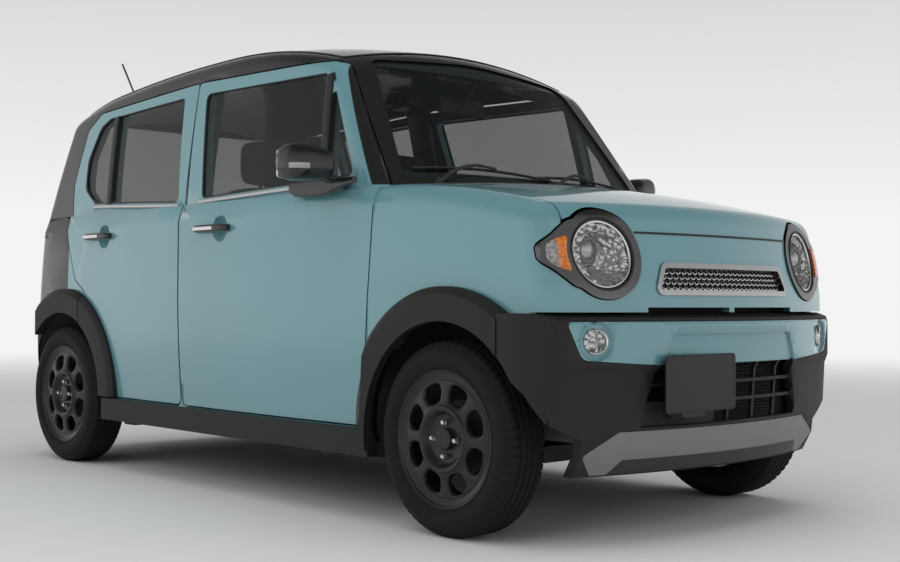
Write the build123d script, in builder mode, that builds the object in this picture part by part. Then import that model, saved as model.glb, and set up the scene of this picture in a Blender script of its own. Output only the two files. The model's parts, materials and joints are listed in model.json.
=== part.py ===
"""Small tall kei car: body panels, doors, lids, wheels, steering and cabin fittings.

Millimetres.  X runs forward, Y to the car's left, Z up; the origin lies on the
ground under the middle of the car.  Every outer panel is cut from one of three
doubly curved envelopes: the lower body, the greenhouse and the front.
"""
import os
from functools import lru_cache
from math import cos, radians, sin, sqrt, tan

from build123d import *

os.makedirs("parts", exist_ok=True)

# Overall sizes
LENGTH = 3395.0
WIDTH = 1475.0
HALF_LENGTH = LENGTH / 2
HALF_WIDTH = WIDTH / 2
WHEELBASE = 2425.0
FRONT_OVERHANG = 530.0
FRONT_AXLE_X = HALF_LENGTH - FRONT_OVERHANG
REAR_AXLE_X = FRONT_AXLE_X - WHEELBASE
HALF_TRACK = 645.0
TYRE_R = 288.0
TYRE_W = 165.0
RIM_R = 203.0
AXLE_Z = TYRE_R
WELL_R = 352.0
FLARE_R = 447.0
LIP_R = 345.0

# Skins, gaps and rests
BELT_Z = 1048.0
FLOOR_Z = 200.0
SEAT = 0.3
GAP = 6.0
SKIN = 25.0
FRAME_DEPTH = 45.0
DOOR_DEPTH = 90.0
PLUG_TAPER = 6.0

# Envelope curves
PLAN_R = 36000.0
BODY_HALF = 724.0
SIDE_SPREAD = 3.2
BOW_SPREAD = 70.0
LOWER_SIDE = ((200, 684), (300, 712), (690, 724), (985, 716), (1048, 694))
FRONT_SIDE = ((200, 684), (300, 712), (690, 724), (930, 718), (1160, 690))
GLASS_SIDE = ((1048, 683), (1276, 646), (1700, 552))
SIDE_BULGE = (490, 721.5)
ROOF_R = 2400.0
ROOF_TOP = 1665.0
ROOF_CHAIN = (
    (1036.8, 880.0), 127.36,
    [(805, 0), (190, 38.64), (2600, 14), (9500, 5.5), (1760, 11), (95, 56.4), (640, 0)],
)
HOOD_R = 6000.0
HOOD_TOP = 1091.0
HOOD_CHAIN = ((1763.4, 921.1), 163.0, [(150, 0), (2900, 16), (400, 0)])
NOSE_PLAN_R = 2043.0
NOSE_X = 1668.0
NOSE_CHAIN = ((NOSE_X, 250.0), 90.0, [(440, 0), (300, 12), (420, 0)])
TAIL_PLAN_R = 3000.0
TAIL_X = -1687.8
TAIL_CHAIN = ((-TAIL_X, 150.0), 90.0, [(434, 0), (2600, 11), (60, 0)])
BUMPER_CHAIN = (
    (1640.0, 195.0), 62.0,
    [(60, 0), (160, 20), (100, 0), (160, -4), (120, 12), (120, 0)],
)


def run_chain(start, heading, steps, inset):
    """Draw lines (length, 0) and tangent arcs (radius, turn) and return both ends."""
    angle = radians(heading)
    x = start[0] - inset * sin(angle)
    z = start[1] + inset * cos(angle)
    first = (x, z)
    for size, turn in steps:
        if turn:
            radius = size - inset
            JernArc((x, z), (cos(angle), sin(angle)), radius, turn)
            after = angle + radians(turn)
            x += radius * (sin(after) - sin(angle))
            z += radius * (cos(angle) - cos(after))
            angle = after
        else:
            end = (x + size * cos(angle), z + size * sin(angle))
            Line((x, z), end)
            x, z = end
    return first, (x, z)


@lru_cache
def sides(profile, inset=0.0):
    """Both flanks: a half section turned about a far upright axis, and its mirror image."""
    reach = PLAN_R - BODY_HALF
    lean = radians(SIDE_SPREAD)
    plane = Plane(
        origin=(0, -reach, 0),
        x_dir=(sin(lean), cos(lean), 0),
        z_dir=(cos(lean), -sin(lean), 0),
    )
    edge = [(reach + y - inset, z) for z, y in profile]
    with BuildPart() as half:
        with BuildSketch(plane):
            with BuildLine():
                if profile is GLASS_SIDE:
                    ThreePointArc(*edge)
                else:
                    Line(edge[0], edge[1])
                    bulge = (reach + SIDE_BULGE[1] - inset, SIDE_BULGE[0])
                    ThreePointArc(edge[1], bulge, edge[2])
                    if profile is LOWER_SIDE:
                        Polyline(*edge[2:])
                    else:
                        ThreePointArc(*edge[2:])
                back = reach - 900
                Polyline(edge[-1], (back, edge[-1][1]), (back, edge[0][1]), edge[0])
            make_face()
        revolve(axis=Axis((0, -reach, 0), (0, 0, 1)), revolution_arc=2 * SIDE_SPREAD)
    other = mirror(half.part, about=Plane.XZ)
    with BuildPart() as both:
        add(half.part)
        add(other, mode=Mode.INTERSECT)
    return both.part


def crowned(chain, crown_r, top_z, spread, floor, inset=0.0):
    """A lengthwise profile turned about a deep axis along the car."""
    start, heading, steps = chain
    centre = top_z - crown_r
    lean = radians(spread)
    plane = Plane(origin=(0, 0, centre), x_dir=(1, 0, 0), z_dir=(0, -cos(lean), sin(lean)))
    with BuildPart() as top:
        with BuildSketch(plane):
            with BuildLine():
                first, last = run_chain((start[0], start[1] - centre), heading, steps, inset)
                low = floor - centre
                Polyline(last, (last[0], low), (first[0], low), first)
            make_face()
        revolve(axis=Axis((0, 0, centre), (1, 0, 0)), revolution_arc=2 * spread)
    return top.part


def bowed(chain, plan_r, face_x, sign, depth, inset=0.0):
    """An end profile turned about an upright axis: the bow of the nose or the tail."""
    start, heading, steps = chain
    centre = face_x - sign * plan_r
    lean = radians(BOW_SPREAD)
    plane = Plane(
        origin=(centre, 0, 0),
        x_dir=(sign * cos(lean), -sign * sin(lean), 0),
        z_dir=(-sign * sin(lean), -sign * cos(lean), 0),
    )
    with BuildPart() as face:
        with BuildSketch(plane):
            with BuildLine():
                begin = (plan_r + start[0] - sign * face_x, start[1])
                first, last = run_chain(begin, heading, steps, inset)
                back = plan_r - depth
                Polyline(last, (back, last[1]), (back, first[1]), first)
            make_face()
        revolve(axis=Axis((centre, 0, 0), (0, 0, 1)), revolution_arc=2 * BOW_SPREAD)
    return face.part


@lru_cache
def greenhouse(inset=0.0):
    """Windscreen, roof and tail above the belt, with round pillars and cantrails."""
    flanks = sides(GLASS_SIDE, inset)
    top = crowned(ROOF_CHAIN, ROOF_R, ROOF_TOP, 44, 600, inset)
    with BuildPart() as house:
        add(flanks)
        add(top, mode=Mode.INTERSECT)
        rim = [
            e for e in house.edges()
            if e.center().Z > 1060 and abs(e.center().Y) > 300 and e.bounding_box().size.Y < 300
        ]
        fillet(rim, radius=70 - 0.7 * max(inset, 0))
    return house.part


@lru_cache
def front(inset=0.0):
    """Hood, wings and nose in one piece, round along the three outer edges."""
    flanks = sides(FRONT_SIDE, inset)
    top = crowned(HOOD_CHAIN, HOOD_R, HOOD_TOP, 11, 100, inset)
    nose = bowed(NOSE_CHAIN, NOSE_PLAN_R, NOSE_X, 1, 1200, inset)
    with BuildPart() as body:
        add(flanks)
        add(top, mode=Mode.INTERSECT)
        add(nose, mode=Mode.INTERSECT)
        corners = [
            e for e in body.edges()
            if abs(e.center().Y) > 600 and e.center().X > 1480 and e.bounding_box().size.Z > 20
        ]
        shoulders = [
            e for e in body.edges()
            if abs(e.center().Y) > 550 and e.center().Z > 960 and e.bounding_box().size.X > 400
        ]
        lip = [
            e for e in body.edges()
            if abs(e.center().Y) < 5 and e.center().X > 1480 and e.center().Z > 900
        ]
        fillet(corners + shoulders + lip, radius=75 - inset)
    return body.part


@lru_cache
def lower(inset=0.0):
    """Flanks and tail below the belt, round at the two rear corners."""
    flanks = sides(LOWER_SIDE, inset)
    tail = bowed(TAIL_CHAIN, TAIL_PLAN_R, TAIL_X, -1, 2700, inset)
    with BuildPart() as body:
        add(flanks)
        add(tail, mode=Mode.INTERSECT)
        corners = [
            e for e in body.edges()
            if e.center().X < -1450 and abs(e.center().Y) > 550 and e.bounding_box().size.Z > 30
        ]
        fillet(corners, radius=100 - 0.8 * inset)
    return body.part


def block(x0, x1, y0, y1, z0, z1, round_r=0.0):
    """A box between two corners, its edges round if asked."""
    with BuildPart() as solid:
        with Locations(((x0 + x1) / 2, (y0 + y1) / 2, (z0 + z1) / 2)):
            Box(x1 - x0, y1 - y0, z1 - z0)
        if round_r:
            fillet(solid.edges(), radius=round_r)
    return solid.part


def prism(plane, points, depth, grow=0.0, taper=0.0):
    """An outline carried along the normal of its plane."""
    with BuildPart() as solid:
        with BuildSketch(plane) as sketch:
            with BuildLine():
                Polyline(*[p[:2] for p in points], close=True)
            make_face()
            for u, v, radius in points:
                if radius:
                    spot = sketch.sketch_local.vertices().sort_by_distance(Vector(u, v, 0))[0]
                    fillet(spot, radius)
            if grow:
                offset(amount=grow, kind=Kind.INTERSECTION, mode=Mode.REPLACE)
        extrude(amount=depth, taper=taper)
    return solid.part


def rod(start, end, radius):
    """A round bar between two points."""
    with BuildPart() as bar:
        axis = Vector(*end) - Vector(*start)
        with BuildSketch(Plane(origin=start, z_dir=axis)):
            Circle(radius)
        extrude(amount=axis.length)
    return bar.part


def joined(*pieces):
    """Fuse pieces into one part."""
    with BuildPart() as whole:
        add(pieces)
    return whole.part


def less(piece, *tools):
    """Take tools away from a piece, one after another."""
    with BuildPart() as rest:
        add(piece)
        for tool in tools:
            add(tool, mode=Mode.SUBTRACT)
    return rest.part


def common(piece, *tools):
    """Keep what a piece shares with every tool."""
    with BuildPart() as rest:
        add(piece)
        for tool in tools:
            add(tool, mode=Mode.INTERSECT)
    return rest.part


def flip(piece):
    """The same piece on the other side of the car."""
    return mirror(piece, about=Plane.XZ)


def pair(piece):
    """A piece and its mirror image."""
    return joined(piece, flip(piece))


def side_view(y):
    """Sketch plane seen from the car's left, its normal pointing inward."""
    return Plane.XZ.offset(-y)


def save(part, name):
    """Label a sub-part and write it."""
    part.label = name
    export_step(part, f"parts/{name}.step")


FAR = 2600.0
BODY = lower()
BODY_IN = lower(DOOR_DEPTH)
HOUSE = greenhouse()
HOUSE_IN = greenhouse(FRAME_DEPTH)
FRONT = front()
FRONT_IN = front(SKIN)

# Doors: outlines seen from the side, drawn on a plane just outside the flank
PLUG_Y = 730.0
PLUG_DEPTH = 290.0
DOOR_FOOT_Z = 296.0
FRONT_DOOR = [
    (785, DOOR_FOOT_Z, 40), (829, 1060, 0), (548, 1500, 60), (470, 1519, 0),
    (-392, 1540, 20), (-327, 1045, 0), (-297, DOOR_FOOT_Z, 30),
]
ARCH_FOOT_X = REAR_AXLE_X + sqrt(WELL_R**2 - (DOOR_FOOT_Z - AXLE_Z) ** 2)
REAR_DOOR = [
    (-304, DOOR_FOOT_Z, 30), (-334, 1045, 0), (-369, 1540, 20), (-1195, 1506, 60),
    (-1302, 1436, 50), (-1342, 1190, 60), (-1302, 1040, 60), (-1265, 915, 80),
    (-1193, 773, 40), (-1100, 725, 10), (-1100, DOOR_FOOT_Z, 0),
]


def arch_disc(axle_x, radius, y0, y1):
    """The round of a wheel opening, carried sideways."""
    with BuildPart() as disc:
        with BuildSketch(Plane.XZ.offset(-y1)):
            with Locations((axle_x, AXLE_Z)):
                Circle(radius)
        extrude(amount=y1 - y0)
    return disc.part


CABIN_SKIN = joined(
    less(common(BODY, block(-FAR, 880, -900, 900, FLOOR_Z, BELT_Z)), BODY_IN),
    less(HOUSE, HOUSE_IN),
)
HOUSE_SIDES_IN = sides(GLASS_SIDE, FRAME_DEPTH)
PLUG_FLOOR = joined(lower(DOOR_DEPTH + 7), sides(GLASS_SIDE, FRAME_DEPTH + 7))


def door_plug(points, arch_x, grow):
    """The tapered plug of one door, with the wheel arch taken out of its corner."""
    plug = prism(side_view(PLUG_Y), points, PLUG_DEPTH, grow, PLUG_TAPER)
    return less(plug, arch_disc(arch_x, WELL_R + 0.001 - grow, 400, 900))


def door_opening(points):
    """What the body gives up for a door and the gap round it."""
    plug = prism(side_view(PLUG_Y), points, PLUG_DEPTH, GAP, PLUG_TAPER)
    cap = prism(side_view(PLUG_Y + 120), points, 120, GAP)
    return less(joined(plug, cap), PLUG_FLOOR)


FRONT_GLASS = [
    [(-222, 1068, 25), (506, 1089, 8), (452, 1463, 8), (-312, 1477, 25)],
    [(542, 1090, 10), (684, 1094, 20), (490, 1452, 14)],
]
REAR_GLASS = [
    [(-390, 1062, 20), (-950, 1088, 8), (-1016, 1463, 8), (-474, 1480, 20)],
    [
        (-984, 1090, 8), (-1100, 1092, 60), (-1216, 1160, 50), (-1238, 1290, 60),
        (-1170, 1432, 50), (-1090, 1463, 20), (-1048, 1464, 8),
    ],
]
GLASS_IN = 8.0
GLASS_THICK = 5.0
GLASS_OUTER = greenhouse(GLASS_IN)
GLASS_INNER = greenhouse(GLASS_IN + GLASS_THICK)
GLASS_SKIN = less(GLASS_OUTER, GLASS_INNER)


def door(points, arch_x, panes):
    """One left door: its panel with the window cut, and its panes."""
    panel = less(common(CABIN_SKIN, door_plug(points, arch_x, 0)), HOUSE_SIDES_IN)
    holes = [prism(side_view(800), pane, 400) for pane in panes]
    panel = less(panel, *holes)
    glass = []
    for pane in panes:
        fill = prism(side_view(800), pane, 400, -SEAT)
        glass.append(common(GLASS_SKIN, fill))
    return panel, joined(*glass)


HANDLE_Z = 950.0
HANDLE_LONG = 236.0
FRONT_HANDLE_X = -83.0
REAR_HANDLE_X = -976.0
SCOOP_R = 60.0
SCOOP_OUT = 34.0
SCOOP_SHIFT = 44.0
HANDLE_FLANK = 717.0


def flank_y(x):
    """The door skin's place at handle height: the side's bow taken off its widest half."""
    return HANDLE_FLANK - x**2 / (2 * PLAN_R)


def scoop(handle_x):
    """The round hollow behind the front half of a handle."""
    with BuildPart() as hollow:
        with Locations((handle_x + SCOOP_SHIFT, flank_y(handle_x) + SCOOP_OUT, HANDLE_Z)):
            Sphere(SCOOP_R)
    return hollow.part


front_door, front_glass = door(FRONT_DOOR, FRONT_AXLE_X, FRONT_GLASS)
rear_door, rear_glass = door(REAR_DOOR, REAR_AXLE_X, REAR_GLASS)
front_door = less(front_door, scoop(FRONT_HANDLE_X))
rear_door = less(rear_door, scoop(REAR_HANDLE_X))
save(front_door, "door_front_left_panel")
save(flip(front_door), "door_front_right_panel")
save(rear_door, "door_rear_left_panel")
save(flip(rear_door), "door_rear_right_panel")
save(front_glass, "door_front_left_glass")
save(flip(front_glass), "door_front_right_glass")
save(rear_glass, "door_rear_left_glass")
save(flip(rear_glass), "door_rear_right_glass")

# Windscreen, roof, tailgate and the frame that carries them
SCREEN = [(-584, 1086, 40), (584, 1086, 40), (470, 1520, 60), (0, 1553, 900), (-470, 1520, 60)]
ROOF_FRONT_X = 452.0
ROOF_REAR_X = -1380.0
ROOF_HALF = 535.0
TAILGATE_TOP_X = -1390.0
TAILGATE = [
    (-585, 590, 60), (585, 590, 60), (612, 760, 100), (612, 1040, 60), (548, 1420, 100), (500, 1720, 0),
    (-500, 1720, 0), (-548, 1420, 100), (-612, 1040, 60), (-612, 760, 100),
]
BACK_GLASS = [(-520, 1120, 60), (520, 1120, 60), (468, 1478, 70), (-468, 1478, 70)]

front_face = Plane.YZ.offset(380)
rear_face = Plane.YZ.offset(-1800)


def tailgate_plug(grow):
    """The tapered plug of the tailgate, ended by the seam across the roof."""
    plug = prism(rear_face, TAILGATE, 430, grow, PLUG_TAPER)
    return common(plug, block(-FAR, TAILGATE_TOP_X + grow, -900, 900, 0, 1800))


screen_hole = prism(front_face, SCREEN, 600)
screen_fill = prism(front_face, SCREEN, 600, -SEAT)
windscreen = common(GLASS_SKIN, screen_fill)
save(windscreen, "windscreen")

roof_zone = block(ROOF_REAR_X, ROOF_FRONT_X, -ROOF_HALF, ROOF_HALF, 1400, 1800)
roof_panel = less(common(HOUSE, roof_zone), greenhouse(SKIN))
save(roof_panel, "roof_panel")

tail_glass_hole = prism(rear_face, BACK_GLASS, 400)
tailgate = common(CABIN_SKIN, tailgate_plug(0))
HINGE_X = TAILGATE_TOP_X + 0.5
HINGE_Z = 1566.0
HINGE_PIN_R = 2.0
BARREL_R = 5.0
BARREL_Y0, BARREL_Y1 = 60.0, 130.0
LUG_W = 14.0


def hinge_rod(y0, y1, radius):
    """A round along the tailgate's hinge line, on the left."""
    return rod((HINGE_X, y0, HINGE_Z), (HINGE_X, y1, HINGE_Z), radius)


lug_spans = [(BARREL_Y0 - LUG_W, BARREL_Y0 - SEAT), (BARREL_Y1 + SEAT, BARREL_Y1 + LUG_W)]
tailgate = less(
    joined(less(tailgate, tail_glass_hole), pair(hinge_rod(BARREL_Y0, BARREL_Y1, BARREL_R))),
    pair(hinge_rod(BARREL_Y0 - LUG_W - 1, BARREL_Y1 + LUG_W + 1, HINGE_PIN_R + SEAT)),
    pair(hinge_rod(BARREL_Y0 - LUG_W - 1, BARREL_Y0, BARREL_R + 1)),
    pair(hinge_rod(BARREL_Y1, BARREL_Y1 + LUG_W + 1, BARREL_R + 1)),
)
save(tailgate, "tailgate_panel")
tailgate_glass = common(GLASS_SKIN, prism(rear_face, BACK_GLASS, 400, -SEAT))
save(tailgate_glass, "tailgate_glass")

DOOR_CUTS = [door_opening(points) for points in (FRONT_DOOR, REAR_DOOR)]
LEFT = block(-FAR, FAR, 0, 900, -500, 2000)
TAILGATE_CUT = tailgate_plug(GAP)

PILLAR = [(-425, 1040, 0), (-285, 1040, 0), (-335, 1640, 0), (-455, 1640, 0)]
POST = [(-410, 230, 0), (-225, 230, 0), (-265, 1048, 0), (-425, 1048, 0)]
pillar = common(less(HOUSE_IN, greenhouse(85)), prism(side_view(800), PILLAR, 400))
frame_half = joined(less(common(HOUSE, LEFT), HOUSE_IN), pillar)
frame_half = less(frame_half, screen_hole, roof_panel, TAILGATE_CUT, *DOOR_CUTS)
lugs = [hinge_rod(y0, y1, BARREL_R) for y0, y1 in lug_spans]
lug_feet = [block(HINGE_X, ROOF_REAR_X - 1, y0, y1, HINGE_Z - BARREL_R, HINGE_Z) for y0, y1 in lug_spans]
hinge_pin = hinge_rod(BARREL_Y0 - LUG_W, BARREL_Y1 + LUG_W, HINGE_PIN_R)
frame_half = joined(frame_half, hinge_pin, *lugs, *lug_feet)
upper_frame = pair(frame_half)
save(upper_frame, "upper_frame")

# Hood, wings and nose
HOOD_EDGE = [
    (905, 0, 0), (900, 200, 0), (852, 560, 20), (858, 596, 10), (1480, 604, 0), (1720, 604, 0),
    (1720, -604, 0), (1480, -604, 0), (858, -596, 10), (852, -560, 20), (900, -200, 0),
]
HOOD_LIP_Z = 893.0
LAMP_Y = 495.0
LAMP_Z = 825.0
BEZEL_R = 127.0
LENS_R = 98.0
LENS_THICK = 5.0
BEZEL_ARM = [(495, 947, 0), (600, 915, 30), (682, 850, 30), (682, 800, 30), (600, 735, 30), (495, 703, 0)]
WING_ZONE = [(791, 150, 0), (835, 1062, 0), (835, 1200, 0), (1720, 1200, 0), (1720, 150, 0)]
NOSE_SEAM_X = 1497.0
NOSE_FOOT_Z = 662.0
BUMPER_TOP = 658.0
BUMPER_BACK_X = 1405.0


def bezel_zone(grow):
    """The lamp circle and the arm round the indicator, carried along X."""
    with BuildPart() as zone:
        with BuildSketch(Plane.YZ.offset(1380)):
            with Locations((LAMP_Y, LAMP_Z)):
                Circle(BEZEL_R + grow)
        extrude(amount=400)
    arm = prism(Plane.YZ.offset(1380), BEZEL_ARM, 400, grow)
    return joined(zone.part, arm)


bezel_hole = pair(bezel_zone(GAP / 2))
lamp_gap = pair(bezel_zone(GAP + 1))
FRONT_SKIN = less(FRONT, FRONT_IN)
hood_plug = common(
    prism(Plane.XY.offset(700), HOOD_EDGE, 500),
    block(700, 1800, -900, 900, HOOD_LIP_Z, 1300),
)
hood_cut = common(
    prism(Plane.XY.offset(700), HOOD_EDGE, 500, GAP),
    block(700, 1800, -900, 900, HOOD_LIP_Z - GAP, 1300),
)
hood = less(common(FRONT_SKIN, hood_plug), lamp_gap, HOUSE)
save(hood, "hood_panel")

cowl_zone = block(772, 960, -601, 601, 700, 1200)
cowl = less(common(FRONT_SKIN, cowl_zone), hood_cut, HOUSE, *[pair(cut) for cut in DOOR_CUTS])
wing_zone = prism(side_view(900), WING_ZONE, 1800)
front_wells = pair(arch_disc(FRONT_AXLE_X, WELL_R, 390, 900))
rear_wells = pair(arch_disc(REAR_AXLE_X, WELL_R, 500, 900))
nose_zone = block(NOSE_SEAM_X, 1800, -900, 900, NOSE_FOOT_Z, HOOD_LIP_Z)
wings = less(
    common(FRONT_SKIN, wing_zone),
    hood_cut, cowl_zone, HOUSE, front_wells, bezel_hole,
    block(NOSE_SEAM_X, 1800, -900, 900, 0, HOOD_LIP_Z),
    block(1150, 1800, -900, 900, 0, NOSE_FOOT_Z - 60),
    block(BUMPER_BACK_X - 1, 1800, -900, 900, 0, BUMPER_TOP + SEAT),
)
save(wings, "wings")

save(cowl, "cowl")

GRILLE = [(-336, 711, 22), (336, 711, 22), (292, 806, 26), (-292, 806, 26)]
GRILLE_RIM = 16.0
nose_face = Plane.YZ.offset(1500)
grille_hole = prism(nose_face, GRILLE, 300)
SLOT_HALF = 356.0
SLOT_H = 14.0
SLOT_RIB = 24.0
air_slot = pair(block(1500, 1800, SLOT_RIB / 2, SLOT_HALF, NOSE_FOOT_Z - 1, NOSE_FOOT_Z + SLOT_H))
nose_panel = less(common(FRONT_SKIN, nose_zone), bezel_hole, grille_hole, air_slot)
save(nose_panel, "nose_panel")

FRONT_PROUD = front(-6)
surround_skin = less(FRONT_PROUD, front(SKIN + 3))
grille_surround = less(
    common(surround_skin, prism(nose_face, GRILLE, 300, -SEAT)),
    prism(nose_face, GRILLE, 300, -GRILLE_RIM),
)
save(grille_surround, "grille_surround")
mesh_zone = prism(nose_face, GRILLE, 300, -GRILLE_RIM - SEAT)
CELL_W, CELL_H, CELL_R = 18.0, 11.0, 5.0
CELL_PITCH, CELL_STEP = 24.0, 15.0
CELL_ROWS, CELL_COLUMNS = 4, 26
CELL_MID_Z = 758.5
CELL_DEPTH = 7.0
MESH_IN = 14.0


def grille_cells():
    """Staggered rows of round-ended cells, carried along X."""
    with BuildPart() as cells:
        with BuildSketch(nose_face):
            for row in range(CELL_ROWS):
                shift = CELL_PITCH / 2 * (row % 2)
                rise = CELL_STEP * (row - (CELL_ROWS - 1) / 2)
                with Locations((shift, CELL_MID_Z + rise)):
                    with GridLocations(CELL_PITCH, CELL_STEP, CELL_COLUMNS, 1):
                        RectangleRounded(CELL_W, CELL_H, CELL_R)
        extrude(amount=300)
    return cells.part


cell_layer = less(front(MESH_IN - 1), front(MESH_IN + CELL_DEPTH))
grille = less(common(less(front(MESH_IN), front(SKIN + 3)), mesh_zone), common(cell_layer, grille_cells()))
save(grille, "grille")


def lamp_cylinder(radius, x0=1380.0):
    """A round through the left lamp along X."""
    with BuildPart() as barrel:
        with BuildSketch(Plane.YZ.offset(x0)):
            with Locations((LAMP_Y, LAMP_Z)):
                Circle(radius)
        extrude(amount=1800 - x0)
    return barrel.part


INDICATOR = [(626, 880, 18), (664, 846, 14), (664, 806, 14), (626, 770, 18)]
indicator_fill = prism(Plane.YZ.offset(1380), INDICATOR, 400, -SEAT)
indicator_hole = prism(Plane.YZ.offset(1380), INDICATOR, 400)
bezel_skin = less(FRONT_PROUD, FRONT_IN)
bezel = less(
    common(bezel_skin, bezel_zone(0)),
    lamp_cylinder(LENS_R), indicator_hole,
)
save(pair(bezel), "headlamp_bezels")
lens = common(less(FRONT, front(LENS_THICK)), lamp_cylinder(LENS_R - SEAT))
save(pair(lens), "headlamp_lenses")
indicator = common(less(FRONT, front(14)), indicator_fill)
save(pair(indicator), "indicators")
bowl_body = common(front(LENS_THICK), lamp_cylinder(LENS_R - SEAT, 1500))
with BuildPart() as bowl_hollow:
    with Locations(Location((1610, LAMP_Y, LAMP_Z), (0, 90, 0))):
        Cone(50, 130, 180)
bowl = less(bowl_body, bowl_hollow.part)
save(pair(bowl), "headlamp_bowls")

# Front bumper: black shell, painted bar, lower grille, skid plate, fog lamps, blank plate
BUMPER_FACE = [
    (1628, 200), (1660, 262), (1668, 330), (1680, 490), (1690, 506), (HALF_LENGTH, 520), (HALF_LENGTH, 628),
    (1688, 646), (1640, BUMPER_TOP),
]
BUMPER_PLAN = [
    (1180, -734, 0), (1500, -734, 150), (1760, -493, 0), (1760, 493, 0), (1500, 734, 150), (1180, 734, 0),
]


@lru_cache
def bumper_solid(inset=0.0):
    """Bumper face turned about the nose axis, cut to its plan with bevelled corners."""
    centre = HALF_LENGTH - NOSE_PLAN_R
    lean = radians(BOW_SPREAD)
    plane = Plane(
        origin=(centre, 0, 0), x_dir=(cos(lean), -sin(lean), 0), z_dir=(-sin(lean), -cos(lean), 0)
    )
    with BuildPart() as face:
        with BuildSketch(plane):
            with BuildLine():
                edge = [(x - centre - inset, z) for x, z in BUMPER_FACE]
                Polyline(*edge, (900, edge[-1][1]), (900, edge[0][1]), close=True)
            make_face()
        revolve(axis=Axis((centre, 0, 0), (0, 0, 1)), revolution_arc=2 * BOW_SPREAD)
    slab = prism(Plane.XY.offset(100), BUMPER_PLAN, 800, -inset)
    return common(face.part, slab)


BUMPER = bumper_solid()
BAR_DEPTH = 14.0
BAR = [(-648, 636, 12), (-600, 530, 30), (-340, 512, 0), (340, 512, 0), (600, 530, 30), (648, 636, 12)]
BAR_DISH = [(-338, 490, 0), (338, 490, 0), (292, 600, 20), (-292, 600, 20)]
DISH_DEPTH = 9.0
LOWER_GRILLE = [(-334, 512, 20), (-392, 338, 20), (392, 338, 20), (334, 512, 20)]
SKID = [(-455, 326, 10), (-570, 262, 10), (-520, 204, 0), (520, 204, 0), (570, 262, 10), (455, 326, 10)]
FOG_Y = 555.0
FOG_Z = 582.0
FOG_R = 36.0
FOG_DISH_R = 54.0
FOG_IN = 6.0
wide_face = Plane.YZ.offset(1400)
BUMPER_MID = bumper_solid(BAR_DEPTH)
CORNER_SWEEP = [
    (1390, 150, 0), (1390, 480, 0), (1462, 470, 0), (1500, 437, 60), (1562, 339, 60), (1605, 262, 0), (1605, 150, 0),
]
corner_cut = common(prism(side_view(900), CORNER_SWEEP, 330), block(1300, 1800, 575, 900, 0, 900))
bumper_shell = less(
    common(BUMPER, block(BUMPER_BACK_X, 1800, -900, 900, 0, 900)),
    bumper_solid(30), pair(arch_disc(FRONT_AXLE_X, LIP_R, 300, 900)), pair(corner_cut),
)
outer_layer = less(BUMPER, BUMPER_MID)
bar_zone = prism(wide_face, BAR, 400)
grille_zone = prism(wide_face, LOWER_GRILLE, 400)
skid_zone = prism(wide_face, SKID, 400)


def fog_round(radius, x0=1400.0):
    """A round through the left fog lamp along X."""
    with BuildPart() as barrel:
        with BuildSketch(Plane.YZ.offset(x0)):
            with Locations((FOG_Y, FOG_Z)):
                Circle(radius)
        extrude(amount=1800 - x0)
    return barrel.part


bumper_shell = less(
    bumper_shell, common(outer_layer, bar_zone), grille_zone, common(outer_layer, skid_zone), pair(fog_round(FOG_R)),
)
SLATS_Z = (402, 456)
UPRIGHTS_Y = (-262, -132, 0, 132, 262)
slat_bars = [block(1400, 1800, -420, 420, z - 5, z + 5) for z in SLATS_Z]
uprights = [block(1400, 1800, y - 6, y + 6, 330, 520) for y in UPRIGHTS_Y]
blank_corner = block(1400, 1800, -420, -66, 330, 396)
slat_skin = less(bumper_solid(12), bumper_solid(30))
upright_skin = less(bumper_solid(18), bumper_solid(30))
lattice = joined(
    common(slat_skin, joined(*slat_bars)),
    common(upright_skin, joined(blank_corner, *uprights)),
)
front_bumper = joined(bumper_shell, common(lattice, grille_zone))
save(front_bumper, "front_bumper")
dish = less(common(BUMPER, prism(wide_face, BAR_DISH, 400)), bumper_solid(DISH_DEPTH))
fog_dish = pair(less(common(BUMPER, fog_round(FOG_DISH_R)), bumper_solid(DISH_DEPTH)))
bumper_bar = less(common(outer_layer, prism(wide_face, BAR, 400, -SEAT)), pair(fog_round(FOG_R)), dish, fog_dish)
save(bumper_bar, "bumper_bar")
skid_plate = common(outer_layer, prism(wide_face, SKID, 400, -SEAT))
save(skid_plate, "skid_plate")
fog_lamp = common(less(bumper_solid(FOG_IN), bumper_solid(26)), fog_round(FOG_R - SEAT))
save(pair(fog_lamp), "fog_lamps")
PLATE_Y = -180.0
PLATE_Z = 458.0
number_plate = joined(
    block(1690, 1692.5, PLATE_Y - 165, PLATE_Y + 165, PLATE_Z - 82.5, PLATE_Z + 82.5),
    less(block(1650, 1691, PLATE_Y - 40, PLATE_Y + 40, 420, 430), bumper_solid(12 - SEAT)),
)
save(number_plate, "number_plate")

# Arch and sill cladding
FLARE_FACE = HALF_WIDTH
FLARE_BAND = 22.0


def flare(axle_x):
    """One left arch flare: a flat face, a sloping band, cut to the flank behind it."""
    with BuildPart() as ring:
        with BuildSketch(Plane.XY.offset(AXLE_Z)):
            with BuildLine():
                Polyline(
                    (axle_x + LIP_R, 560), (axle_x + LIP_R, FLARE_FACE),
                    (axle_x + FLARE_R - FLARE_BAND, FLARE_FACE), (axle_x + FLARE_R, FLARE_FACE - 14),
                    (axle_x + FLARE_R, 560), close=True,
                )
            make_face()
        revolve(axis=Axis((axle_x, 0, AXLE_Z), (0, 1, 0)), revolution_arc=360)
    return ring.part


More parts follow.
